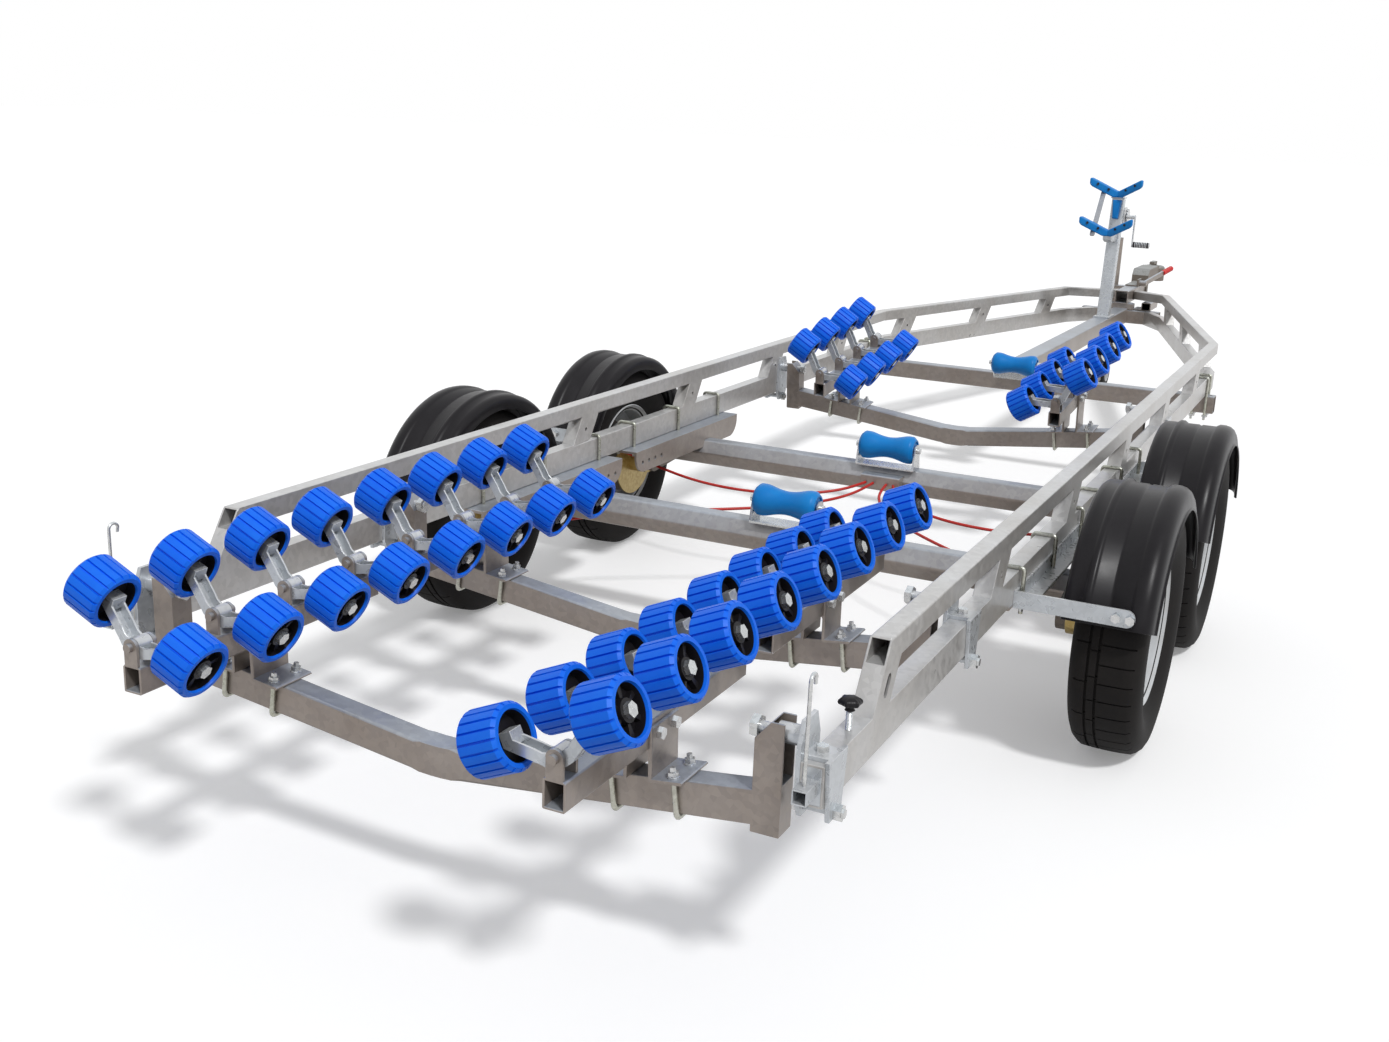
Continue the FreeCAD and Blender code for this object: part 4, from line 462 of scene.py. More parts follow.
def eased_copy(name, radius, shortest):
    bpy.ops.object.select_all(action="DESELECT")
    piece = bpy.data.objects.new(name + "_rounded", bpy.data.objects[name].data.copy())
    bpy.context.scene.collection.objects.link(piece)
    piece.select_set(True)
    bpy.context.view_layer.objects.active = piece
    start_edit("EDGE")
    bpy.ops.mesh.select_all(action="SELECT")
    bpy.ops.mesh.remove_doubles(threshold=0.00001)
    bpy.ops.mesh.dissolve_limited(angle_limit=math.radians(0.5))
    if radius > 0:
        ease_corners(piece, shortest, math.radians(50.0), radius, 3)
        end_edit()
        mend_folds(piece)
        start_edit("EDGE")
    ease_corners(piece, 0.003, math.radians(40.0), 0.0007, 1)
    end_edit()
    mend_folds(piece)
    return piece


def rounded_copy(name):
    # The tube's own radius where the shape stays whole: closed, and nowhere larger than its solid. Otherwise only the
    # long runs get it, or a smaller one.
    solid_area = sum(face.area for face in bpy.data.objects[name].data.polygons)
    for share, shortest in ((1.0, 0.085), (1.0, 0.25), (0.7, 0.085), (0.7, 0.25), (0.4, 0.25), (0.0, 0.25)):
        piece = eased_copy(name, tube_radius(name) * share, shortest)
        closed = all(len(faces) == 2 for faces in edge_neighbours(piece.data).values())
        whole = closed and sum(face.area for face in piece.data.polygons) < solid_area + 0.0001
        if share == 0.0 or whole:
            break
        bpy.data.objects.remove(piece)
    bpy.ops.mesh.customdata_custom_splitnormals_clear()
    bpy.ops.object.shade_smooth_by_angle(angle=math.radians(32.0))
    piece.modifiers.new("flat_faces", "WEIGHTED_NORMAL").keep_sharp = True
    bpy.ops.object.modifier_apply(modifier="flat_faces")
    return piece


def lamp_hook_mesh():
    # A thin rod with its top bent over: the rod is drawn up, spun round the bend and drawn down.
    bend, rod, straight = 0.011, 0.0032, 0.168
    bpy.ops.object.select_all(action="DESELECT")
    bpy.ops.mesh.primitive_circle_add(vertices=12, radius=rod, location=(-bend, 0, 0), fill_type="NGON")
    piece = bpy.context.object
    piece.data.materials.append(bright_zinc)
    start_edit("FACE")
    bpy.ops.mesh.select_all(action="SELECT")
    bpy.ops.mesh.extrude_region_move(TRANSFORM_OT_translate={"value": (0, 0, straight)})
    bpy.ops.mesh.spin(steps=12, angle=math.radians(165.0), center=(0, 0, straight), axis=(0, -1, 0))
    bpy.ops.mesh.extrude_region_move(TRANSFORM_OT_translate={"value": (-0.0015, 0, -0.010)})
    bpy.ops.mesh.select_all(action="SELECT")
    bpy.ops.mesh.remove_doubles(threshold=0.00005)
    bpy.ops.mesh.normals_make_consistent(inside=False)
    end_edit()
    return ready_mesh(piece, 40.0)


def stays_with_hooks(piece):
    hooks_end = tandem - 1.85
    start_edit()
    edit_faces(piece, lambda c, n: c.x < hooks_end)
    bpy.ops.mesh.delete(type="FACE")
    bpy.ops.mesh.select_mode(type="VERT")
    bpy.ops.mesh.select_all(action="SELECT")
    bpy.ops.mesh.delete_loose()
    end_edit()
    hook = lamp_hook_mesh()
    copies = [(piece.data, Matrix.Identity(4))]
    for sign in (-1, 1):
        copies.append((hook, Matrix.Translation((tandem - 1.919, sign * 0.720, 0.464))))
    bpy.data.objects.remove(piece)
    return join_copies("stays_and_hooks_rounded", copies)


made_by_hand = ("tyre_", "rim_", "bank_rollers", "keel_roller_", "bow_blocks", "mudguards", "star_knobs", "jockey_tyre",
                "cable_")
for body, nodes in frame["record"]["behaviour"]["bodies"].items():
    for name in nodes:
        if name.startswith(made_by_hand):
            continue
        piece = rounded_copy(name)
        if name == "stays_and_hooks":
            piece = stays_with_hooks(piece)
        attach(piece, body)
        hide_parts(name)


# Bank rollers
roller_radius, roller_width = 0.054, 0.076
rib_count = 20


def around(point):
    return math.atan2(point.y, point.x) % (2 * math.pi)


def bank_roller_mesh():
    piece = add_cylinder(rib_count * 4, roller_radius, roller_width)
    piece.data.materials.append(roller_blue)
    piece.data.materials.append(black_plastic)
    half = roller_width / 2
    start_edit()
    # Outer face: blue ring, then a black wheel with spokes and a raised hub
    edit_faces(piece, lambda c, n: n.z > 0.9)
    bpy.ops.mesh.inset(thickness=0.0125)
    bpy.ops.mesh.inset(thickness=0.0015, depth=-0.005)
    bpy.context.object.active_material_index = 1
    bpy.ops.object.material_slot_assign()
    bpy.ops.mesh.inset(thickness=0.0012, depth=-0.008)
    bpy.ops.mesh.inset(thickness=0.0195)
    bpy.ops.mesh.inset(thickness=0.0010, depth=0.005)
    bpy.ops.mesh.inset(thickness=0.006)
    spoke_floor = half - 0.013
    edit_faces(piece, lambda c, n: n.z > 0.9 and abs(c.z - spoke_floor) < 0.0005 and
               (around(c) * 6 / (2 * math.pi)) % 1.0 > 0.25)
    bpy.ops.mesh.inset(thickness=0.001, depth=-0.009)
    # Inner face: the same ring round a deep black cup that takes the arm
    edit_faces(piece, lambda c, n: n.z < -0.9)
    bpy.ops.mesh.inset(thickness=0.0125)
    bpy.ops.mesh.inset(thickness=0.0015, depth=-0.004)
    bpy.context.object.active_material_index = 1
    bpy.ops.object.material_slot_assign()
    bpy.ops.mesh.inset(thickness=0.003, depth=-0.019)
    # Chamfered rims, then grooves that run out through the chamfers
    edit_edges(piece, lambda a, b: abs(a.z - b.z) < 1e-5 and abs(abs(a.z) - half) < 1e-5 and
               min(a.xy.length, b.xy.length) > roller_radius - 1e-4)
    bpy.ops.mesh.bevel(offset=0.0055, segments=1, affect="EDGES")
    strip = 2 * math.pi / (rib_count * 4)

    def in_groove(c, n):
        column = around(c) / strip
        return abs(n.z) < 0.9 and c.xy.length > roller_radius - 0.006 and int(column) % 4 == 3
    edit_faces(piece, in_groove)
    bpy.ops.mesh.inset(thickness=0.0006)
    edit_faces(piece, lambda c, n: in_groove(c, n) and abs(n.z) < 0.1 and abs(c.z) < 0.001 and
               abs(around(c) / strip % 1.0 - 0.5) < 0.2)
    bpy.ops.transform.resize(value=(0.917, 0.917, 1.0), center_override=(0.0, 0.0, 0.0))
    end_edit()
    return ready_mesh(piece, 30.0)


def hex_bolt_mesh(across, height, shank, shank_radius):
    piece = add_cylinder(6, across / 2 / math.cos(math.pi / 6), height, (0, 0, height / 2))
    piece.data.materials.append(bright_zinc)
    start_edit()
    edit_edges(piece, lambda a, b: min(a.z, b.z) > height - 1e-5)
    bpy.ops.mesh.bevel(offset=height * 0.18, segments=1, affect="EDGES")
    edit_faces(piece, lambda c, n: n.z > 0.99)
    bpy.ops.mesh.inset(thickness=across * 0.2)
    if shank > 0:
        bpy.ops.mesh.inset(thickness=across * 0.02, depth=shank)
    end_edit()
    return ready_mesh(piece, 30.0)


def level_to_bank(x, y, z, station):
    # From the level drawing of a left bank to its tilted place.
    cradle_x, lift, nose_up = cradle_stations[station]
    pivot = Vector((0, 0.421, 0.447 + lift + 0.050 + bank_pivot_rise))
    tilt = Matrix.Rotation(math.radians(bank_tilts[station]), 3, "X")
    point = tilt @ (Vector((0, y, z)) - pivot) + pivot
    point.x = x
    hinge = Vector((cradle_x, 0, pivot_height))
    swing = Matrix.Rotation(-math.radians(nose_up), 3, "Y")
    return swing @ (point - hinge) + hinge


def bank_places(station, side):
    cradle_x, lift, nose_up = cradle_stations[station]
    level = 0.447 + lift + 0.050 + bank_pivot_rise + roller_rise
    places = []
    for k in range(4):
        x = cradle_x - 0.002 + 0.188 * (k - 1.5)
        for sign in (-1, 1):
            centre = level_to_bank(x, 0.421 + sign * 0.106, level, station)
            outer = level_to_bank(x, 0.421 + sign * 0.206, level, station)
            ahead = level_to_bank(x + 0.1, 0.421 + sign * 0.106, level, station)
            points = [centre, outer, ahead]
            if side == "right":
                points = [Vector((p.x, -p.y, p.z)) for p in points]
            places.append(pose_matrix(points[0], points[1] - points[0], points[2] - points[0]))
    return places


roller_mesh = bank_roller_mesh()
roller_bolt = hex_bolt_mesh(0.022, 0.009, 0.0, 0.0)
for station in cradle_stations:
    for side in ("left", "right"):
        copies = []
        for k, place in enumerate(bank_places(station, side)):
            copies.append((roller_mesh, place @ Matrix.Rotation(0.3 * k, 4, "Z")))
            copies.append((roller_bolt, place @ Matrix.Translation((0, 0, 0.0300)) @ Matrix.Rotation(0.7 * k, 4, "Z")))
        piece = join_copies("ribbed_rollers_" + station + "_" + side, copies)
        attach(piece, "roller_bank_" + station + "_" + side)
        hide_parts("bank_rollers_" + station + "_" + side)


# Turned pieces: a ring is extruded and scaled along a profile of (radius, height) pairs
def turned_piece(profile, sides, finish, capped=True):
    radius, height = profile[0]
    bpy.ops.object.select_all(action="DESELECT")
    bpy.ops.mesh.primitive_circle_add(vertices=sides, radius=radius, location=(0, 0, height),
                                      fill_type="NGON" if capped else "NOTHING")
    piece = bpy.context.object
    piece.data.materials.append(finish)
    start_edit("FACE" if capped else "EDGE")
    bpy.ops.mesh.select_all(action="SELECT")
    for next_radius, next_height in profile[1:]:
        bpy.ops.mesh.extrude_region_move(TRANSFORM_OT_translate={"value": (0, 0, next_height - height)})
        grow = next_radius / radius
        bpy.ops.transform.resize(value=(grow, grow, 1.0), center_override=(0.0, 0.0, next_height))
        radius, height = next_radius, next_height
    bpy.ops.mesh.select_all(action="SELECT")
    bpy.ops.mesh.remove_doubles(threshold=0.00002)
    bpy.ops.mesh.normals_make_consistent(inside=False)
    return piece


def finish_piece(name, mesh_places, body, slot, *nodes):
    piece = join_copies(name, mesh_places)
    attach(piece, body)
    if nodes:
        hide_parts(*nodes)
    return piece


# Keel rollers, waisted with chamfered ends
def keel_roller_mesh():
    half = [(0.030, -0.0900), (0.0345, -0.0900), (0.0425, -0.0815), (0.0440, -0.0785), (0.0440, -0.0640),
            (0.0428, -0.0560), (0.0402, -0.0460), (0.0372, -0.0350), (0.0346, -0.0230), (0.0330, -0.0110)]
    profile = half + [(0.0324, 0.0)] + [(radius, -height) for radius, height in half[::-1]]
    piece = turned_piece([(0.011, -0.086), (0.029, -0.086)] + profile + [(0.029, 0.086), (0.011, 0.086)], 48, keel_blue)
    end_edit()
    return ready_mesh(piece, 30.0)


keel_mesh = keel_roller_mesh()
for station, x, z in (("rear", tandem - 0.293, 0.430), ("mid", tandem + 0.537, 0.430), ("front", tandem + 2.105, 0.485)):
    place = pose_matrix((x, 0, z), (0, 1, 0), (1, 0, 0))
    finish_piece("waisted_roller_" + station, [(keel_mesh, place)], "keel_wheel_" + station, "keel_blue",
                 "keel_roller_" + station)


# Wheel rims: barrel, dished disc with hand holes, hub cap and brake drum in one turned shape
def rim_mesh():
    face = [(0.0015, 0.052), (0.0150, 0.0515), (0.0220, 0.0490), (0.0262, 0.0430), (0.0270, 0.0370), (0.0270, 0.0125),
            (0.0300, 0.0120), (0.0800, 0.0120), (0.0880, 0.0135), (0.0960, 0.0200), (0.1030, 0.0280), (0.1090, 0.0310),
            (0.1160, 0.0300), (0.1210, 0.0282), (0.1430, 0.0195), (0.1530, 0.0150), (0.1590, 0.0120), (0.1600, 0.0160),
            (0.1600, 0.0440), (0.1610, 0.0500), (0.1680, 0.0545), (0.1740, 0.0575), (0.1775, 0.0618), (0.1800, 0.0600),
            (0.1790, 0.0560), (0.1700, 0.0545), (0.1650, 0.0520)]
    back = [(0.1650, -0.0520), (0.1700, -0.0545), (0.1790, -0.0560), (0.1800, -0.0600), (0.1775, -0.0618),
            (0.1740, -0.0575), (0.1610, -0.0500), (0.1600, -0.0400), (0.1600, 0.0040), (0.1590, 0.0050),
            (0.1430, 0.0135), (0.1210, 0.0222), (0.1090, 0.0250), (0.0960, 0.0140), (0.0880, 0.0060), (0.0400, 0.0060),
            (0.0380, 0.0040), (0.0380, -0.0190), (0.1120, -0.0190), (0.1160, -0.0220), (0.1160, -0.0700), (0.1180, -0.0720),
            (0.1180, -0.0790), (0.1130, -0.0790), (0.1130, -0.0500), (0.0180, -0.0500)]
    piece = turned_piece(face + back, 100, rim_silver)
    piece.data.materials.append(dull_cast)
    edit_faces(piece, lambda c, n: c.xy.length < 0.1185 and c.z < 0.003)
    bpy.context.object.active_material_index = 1
    bpy.ops.object.material_slot_assign()
    for k in range(10):
        middle = 2 * math.pi * (k + 0.5) / 10

        def in_hole(c, n):
            off = (around(c) - middle + math.pi) % (2 * math.pi) - math.pi
            return 0.1215 < c.xy.length < 0.1425 and 0.010 < c.z < 0.030 and abs(off) < 2 * math.pi * 1.6 / 100
        edit_faces(piece, in_hole)
        bpy.ops.mesh.bridge_edge_loops()
    bpy.ops.mesh.select_all(action="SELECT")
    bpy.ops.mesh.normals_make_consistent(inside=False)
    end_edit()
    return ready_mesh(piece, 35.0)


rim_shape = rim_mesh()
for end, x in wheel_stations.items():
    for side, sign in (("left", 1), ("right", -1)):
        place = pose_matrix((x, sign * 0.945, 0.298), (0, sign, 0), (1, 0, 0))
        finish_piece("dished_rim_" + end + "_" + side, [(rim_shape, place)], "wheel_" + end + "_" + side, "rim_silver",
                     "rim_" + end + "_" + side)


# Tyres with tread blocks
def tyre_mesh():
    sides = 120
    bpy.ops.object.select_all(action="DESELECT")
    bpy.ops.mesh.primitive_circle_add(vertices=sides, radius=0.165, location=(0, 0, -0.050))
    piece = bpy.context.object
    piece.data.materials.append(tyre_rubber)
    start_edit("EDGE")
    bpy.ops.mesh.select_all(action="SELECT")
    profile = [(0.165, -0.054), (0.182, -0.0575), (0.196, -0.066), (0.214, -0.076), (0.236, -0.0825), (0.252, -0.0832),
               (0.268, -0.0805), (0.281, -0.0745), (0.290, -0.065), (0.2955, -0.056), (0.2972, -0.036), (0.298, -0.014),
               (0.298, 0.014), (0.2972, 0.036), (0.2955, 0.056), (0.290, 0.065), (0.281, 0.0745), (0.268, 0.0805),
               (0.252, 0.0832), (0.236, 0.0825), (0.214, 0.076), (0.196, 0.066), (0.182, 0.0575), (0.165, 0.054),
               (0.165, 0.050)]
    last_radius, last_z = 0.165, -0.050
    for radius, z in profile:
        bpy.ops.mesh.extrude_region_move(TRANSFORM_OT_translate={"value": (0, 0, z - last_z)})
        grow = radius / last_radius
        bpy.ops.transform.resize(value=(grow, grow, 1.0), center_override=(0.0, 0.0, z))
        last_radius, last_z = radius, z
    # Running grooves between the rows, and slanting cuts across the outer rows
    rows = (0.036, 0.014)
    edit_edges(piece, lambda a, b: abs(a.z - b.z) < 1e-5 and min(abs(abs(a.z) - row) for row in rows) < 1e-4 and
               a.xy.length > 0.29)
    bpy.ops.mesh.bevel(offset=0.0032, segments=1, affect="EDGES")
    bpy.ops.mesh.extrude_region_shrink_fatten(TRANSFORM_OT_shrink_fatten={"value": -0.0065})
    step = 2 * math.pi / sides

    def cross_cut(a, b):
        if abs(a.z - b.z) < 0.004 or min(a.xy.length, b.xy.length) < 0.2885 or abs(around(a) - around(b)) > 0.3 * step:
            return False
        middle = abs(a.z + b.z) / 2
        index = int(round(around(a) / step))
        if middle > 0.040:
            return index % 3 == (0 if a.z > 0 else 1)
        if middle > 0.016:
            return index % 4 == (2 if a.z > 0 else 0)
        return index % 6 == 3
    edit_edges(piece, cross_cut)
    bpy.ops.mesh.bevel(offset=0.0018, segments=1, affect="EDGES")
    bpy.ops.mesh.extrude_region_shrink_fatten(TRANSFORM_OT_shrink_fatten={"value": -0.005})
    bpy.ops.mesh.select_all(action="SELECT")
    bpy.ops.mesh.normals_make_consistent(inside=False)
    end_edit()
    return ready_mesh(piece, 40.0)


tread_mesh = tyre_mesh()
for end, x in wheel_stations.items():
    for side, sign in (("left", 1), ("right", -1)):
        place = pose_matrix((x, sign * 0.945, 0.298), (0, sign, 0), (1, 0, 0))
        piece = join_copies("treaded_tyre_" + end + "_" + side, [(tread_mesh, place)])
        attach(piece, "wheel_" + end + "_" + side)
        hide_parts("tyre_" + end + "_" + side)


# Mudguards: a moulded section swept over the wheel, then given its wall
def guard_mesh():
    section = [(-0.103, 0.303), (-0.103, 0.330), (-0.1005, 0.338), (-0.094, 0.3435), (-0.084, 0.345), (-0.062, 0.345),
               (-0.058, 0.3485), (-0.054, 0.3515), (-0.046, 0.3515), (-0.042, 0.3485), (-0.038, 0.345), (-0.006, 0.345),
               (-0.0035, 0.3425), (0.0035, 0.3425), (0.006, 0.345), (0.042, 0.345), (0.047, 0.3485), (0.052, 0.3515),
               (0.066, 0.3515), (0.078, 0.3485), (0.087, 0.342), (0.093, 0.332), (0.0965, 0.318), (0.098, 0.304),
               (0.103, 0.300)]
    start = math.radians(17.0)
    bpy.ops.object.select_all(action="DESELECT")
    bpy.ops.mesh.primitive_plane_add(size=0.002, location=(0, 0, 0))
    piece = bpy.context.object
    piece.data.materials.append(black_plastic)
    start_edit("VERT")
    bpy.ops.mesh.select_all(action="SELECT")
    bpy.ops.mesh.merge(type="CENTER")
    y, radius = section[0]
    bpy.ops.transform.translate(value=(radius * math.cos(start), y, radius * math.sin(start)))
    for (ya, ra), (yb, rb) in zip(section, section[1:]):
        step = rb - ra
        bpy.ops.mesh.extrude_region_move(TRANSFORM_OT_translate={
            "value": (step * math.cos(start), yb - ya, step * math.sin(start))})
    bpy.ops.mesh.select_all(action="SELECT")
    bpy.ops.mesh.spin(steps=48, angle=math.pi - 2 * start, center=(0, 0, 0), axis=(0, 1, 0))
    bpy.ops.mesh.select_all(action="SELECT")
    bpy.ops.mesh.remove_doubles(threshold=0.00005)
    bpy.ops.mesh.normals_make_consistent(inside=False)
    end_edit()
    # The inner ridge runs out a little way above each end
    start_edit("VERT")
    for low, high, lowest_rise, highest_rise, pull in (
            (0.350, 0.353, 0.0, 20.0, 0.9815), (0.347, 0.350, 0.0, 20.0, 0.9900), (0.350, 0.353, 20.0, 23.5, 0.9910),
            (0.347, 0.350, 20.0, 23.5, 0.9950)):
        edit_points(piece, lambda c: -0.060 < c.y < -0.040 and low < c.xz.length < high and
                    lowest_rise <= math.degrees(math.atan2(c.z, abs(c.x))) < highest_rise)
        bpy.ops.transform.resize(value=(pull, 1.0, pull), center_override=(0.0, 0.0, 0.0))
    end_edit()
    wall = piece.modifiers.new("wall", "SOLIDIFY")
    wall.thickness = 0.004
    wall.offset = -1.0
    rounding = piece.modifiers.new("rounding", "BEVEL")
    rounding.width = 0.0012
    rounding.segments = 2
    rounding.limit_method = "ANGLE"
    rounding.angle_limit = math.radians(50.0)
    bpy.ops.object.modifier_apply(modifier="wall")
    bpy.ops.object.modifier_apply(modifier="rounding")
    return ready_mesh(piece, 45.0)


guard = guard_mesh()
copies = []
for x in wheel_stations.values():
    copies.append((guard, Matrix.Translation((x, 0.945, 0.298))))
    copies.append((guard, Matrix.Translation((x, -0.945, 0.298)) @ Matrix.Rotation(math.pi, 4, "Z")))
piece = join_copies("moulded_guards", copies)
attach(piece, "frame")
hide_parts("mudguards")


# Bow blocks: moulded arms drawn out of a core, trimmed flat at the seat and rounded
def bow_block_mesh():
    bpy.ops.object.select_all(action="DESELECT")
    bpy.ops.mesh.primitive_cube_add(size=1.0, location=(0, 0, 0.010))
    piece = bpy.context.object
    piece.data.materials.append(keel_blue)
    start_edit()
    bpy.ops.mesh.select_all(action="SELECT")
    bpy.ops.transform.resize(value=(0.044, 0.004, 0.042), center_override=(0.0, 0.0, 0.010))
    for sign in (-1, 1):
        edit_faces(piece, lambda c, n: n.y * sign > 0.9)
        bpy.ops.mesh.extrude_region_move(TRANSFORM_OT_translate={"value": (-0.082, sign * 0.117, 0.062)})
        bpy.ops.mesh.extrude_region_move(TRANSFORM_OT_translate={"value": (-0.008, sign * 0.0115, 0.006)})
        bpy.ops.transform.resize(value=(0.72, 1.0, 0.72))
    bpy.ops.mesh.select_all(action="SELECT")
    bpy.ops.mesh.bisect(plane_co=(0, 0, 0.0), plane_no=(0, 0, 1), use_fill=True, clear_inner=True)
    end_edit()
    rounding = piece.modifiers.new("rounding", "BEVEL")
    rounding.width = 0.0085
    rounding.segments = 4
    rounding.limit_method = "ANGLE"
    rounding.angle_limit = math.radians(38.0)
    bpy.ops.object.modifier_apply(modifier="rounding")
    return ready_mesh(piece, 50.0)


def pad_mesh():
    bpy.ops.object.select_all(action="DESELECT")
    bpy.ops.mesh.primitive_cube_add(size=1.0, location=(0, 0, 0))
    piece = bpy.context.object
    piece.data.materials.append(keel_blue)
    start_edit()
    bpy.ops.mesh.select_all(action="SELECT")
    bpy.ops.transform.resize(value=(0.025, 0.050, 0.098), center_override=(0.0, 0.0, 0.0))
    edit_faces(piece, lambda c, n: n.x < -0.9)
    bpy.ops.transform.resize(value=(1.0, 0.82, 0.92))
    edit_faces(piece, lambda c, n: n.z < -0.9)
    bpy.ops.transform.resize(value=(1.0, 0.62, 1.0))
    bpy.ops.mesh.select_all(action="SELECT")
    bpy.ops.mesh.bevel(offset=0.005, segments=3, affect="EDGES")
    end_edit()
    return ready_mesh(piece, 50.0)


def screw_hole_mesh():
    piece = turned_piece([(0.0066, 0.0), (0.0066, 0.0008), (0.0050, 0.0010), (0.0046, -0.0040), (0.0010, -0.0042)], 20,
                         black_rubber)
    end_edit()
    return ready_mesh(piece, 30.0)


vee, pad, screw_hole = bow_block_mesh(), pad_mesh(), screw_hole_mesh()
copies = []
for x, seat in ((tandem + 3.935, 1.1018), (tandem + 3.774, 0.916)):
    copies.append((vee, Matrix.Translation((x, 0, seat))))
    for sign in (-1, 1):
        for share in (0.42, 0.80):
            face = Vector((x - 0.0180 - 0.090 * share, sign * (0.129 * share - 0.0125), seat + 0.010 + 0.068 * share))
            copies.append((screw_hole, pose_matrix(face, (-0.82, -0.57 * sign, 0.0), (0, 0, 1))))
lean = Matrix.Rotation(math.radians(6.0), 4, "Y")
copies.append((pad, Matrix.Translation((2.3135, 0, 1.0418)) @ lean))
finish_piece("moulded_bow_blocks", copies, "frame", "keel_blue", "bow_blocks")


# Strip that ties the two bow blocks together on the left
def strip_mesh(length):
    bpy.ops.object.select_all(action="DESELECT")
    bpy.ops.mesh.primitive_cube_add(size=1.0, location=(0, 0, 0))
    piece = bpy.context.object
    piece.data.materials.append(dipped_zinc)
    start_edit()
    bpy.ops.mesh.select_all(action="SELECT")
    bpy.ops.transform.resize(value=(0.024, 0.005, length), center_override=(0.0, 0.0, 0.0))
    edit_edges(piece, lambda a, b: abs(a.z - b.z) < 1e-5 and abs(a.x - b.x) < 1e-5)
    bpy.ops.mesh.bevel(offset=0.008, segments=4, affect="EDGES")
    end_edit()
    return ready_mesh(piece, 40.0)


high_end = Vector((tandem + 3.935 - 0.040, 0.066, 1.1018 + 0.030))
low_end = Vector((tandem + 3.774 - 0.040, 0.066, 0.916 + 0.034))
run = high_end - low_end
strip = strip_mesh(run.length + 0.060)
finish_piece("bow_block_strip", [(strip, pose_matrix((high_end + low_end) / 2 - run * 0.06, run, (0, 1, 0)))], "frame",
             "galvanised")


# Star knobs: a lobed, domed grip on a threaded stud
def star_knob_mesh():
    piece = turned_piece([(0.0080, 0.0000), (0.0088, 0.0004), (0.0084, 0.0050), (0.0100, 0.0070), (0.0165, 0.0088),
                          (0.0200, 0.0110), (0.0212, 0.0145), (0.0204, 0.0180), (0.0176, 0.0210), (0.0130, 0.0230),
                          (0.0070, 0.0239), (0.0020, 0.0240)], 60, black_plastic)
    bpy.ops.mesh.select_mode(type="FACE")
    for lobe in range(6):
        turn = 2 * math.pi * (lobe + 0.5) / 6
        edit_faces(piece, lambda c, n: c.xy.length > 0.0125 and abs((around(c) - turn + math.pi) %
                                                                    (2 * math.pi) - math.pi) < 0.16)
        bpy.ops.transform.translate(value=(-0.0034 * math.cos(turn), -0.0034 * math.sin(turn), 0.0),
                                    use_proportional_edit=True, proportional_edit_falloff="SMOOTH",
                                    proportional_size=0.007)
    end_edit()
    return ready_mesh(piece, 60.0)


def threaded_stud_mesh(radius, length, pitch, finish):
    profile = [(radius * 0.86, 0.0)]
    turns = int(length / pitch)
    for k in range(turns):
        profile += [(radius, pitch * (k + 0.4)), (radius * 0.86, pitch * (k + 1.0))]
    piece = turned_piece(profile, 16, finish)
    end_edit()
    return ready_mesh(piece, 30.0)


knob, knob_stud = star_knob_mesh(), threaded_stud_mesh(0.006, 0.036, 0.002, bright_zinc)
copies = []
for sign in (-1, 1):
    copies.append((knob_stud, Matrix.Translation((tandem - 1.745, sign * 0.720, 0.4872))))
    copies.append((knob, Matrix.Translation((tandem - 1.745, sign * 0.720, 0.521))))
finish_piece("lobed_knobs", copies, "frame", "black_plastic", "star_knobs")


# Grips: ribbed sleeves on the handbrake lever, the winch crank and the jockey wheel's crank
def grip_mesh(radius, length, finish, ribs):
    profile = [(radius * 0.62, 0.0), (radius * 0.90, 0.0006), (radius, length * 0.05)]
    for k in range(ribs):
        base = length * (0.12 + 0.76 * k / ribs)
        step = length * 0.76 / ribs
        profile += [(radius, base), (radius * 0.90, base + step * 0.25), (radius * 0.90, base + step * 0.55),
                    (radius, base + step * 0.8)]
    profile += [(radius, length * 0.93), (radius * 0.86, length * 0.985), (radius * 0.45, length)]
    piece = turned_piece(profile, 28, finish)
    end_edit()
    return ready_mesh(piece, 50.0)


rise, out = math.radians(11.5), math.radians(15.5)
lever_run = Vector((math.cos(rise) * math.cos(out), -math.cos(rise) * math.sin(out), math.sin(rise)))
lever_foot = Vector((tandem + 4.676, -0.060, 0.606))
brake_grip = grip_mesh(0.0150, 0.112, grip_red, 7)
finish_piece("brake_grip", [(brake_grip, pose_matrix(lever_foot + lever_run * 0.230, lever_run, (0, 0, 1)))], "frame",
             "cable_red")
winch_grip = grip_mesh(0.0150, 0.084, black_plastic, 8)
winch_x = 2.4481
finish_piece("winch_grip", [(winch_grip, pose_matrix((winch_x, -0.0795, 0.862), (0, -1, 0), (1, 0, 0)))], "winch_reel",
             "black_plastic")
crank_grip = grip_mesh(0.0115, 0.050, black_plastic, 5)
finish_piece("jockey_grip", [(crank_grip, Matrix.Translation((tandem + 4.586, 0.108, 0.8895)))], "frame", "black_plastic")


# Winch strap on its drum, and the rubber gaiter behind the coupling head
def strap_roll_mesh():
    layers = []
    for k in range(5):
        z = -0.0215 + 0.0108 * k
        layers += [(0.0455, z - 0.0045), (0.0470, z - 0.0020), (0.0470, z + 0.0020), (0.0455, z + 0.0045)]
    piece = turned_piece([(0.027, -0.0245)] + layers + [(0.027, 0.0245)], 48, black_plastic)
    end_edit()
    return ready_mesh(piece, 40.0)


def gaiter_mesh():
    profile = [(0.0260, 0.0)]
    for k in range(4):
        z = 0.0250 * k / 4
        profile += [(0.0335, z + 0.0012), (0.0345, z + 0.0031), (0.0335, z + 0.0050), (0.0295, z + 0.0060)]
    piece = turned_piece(profile + [(0.0260, 0.0250)], 40, black_rubber, capped=False)
    end_edit()
    return ready_mesh(piece, 50.0)


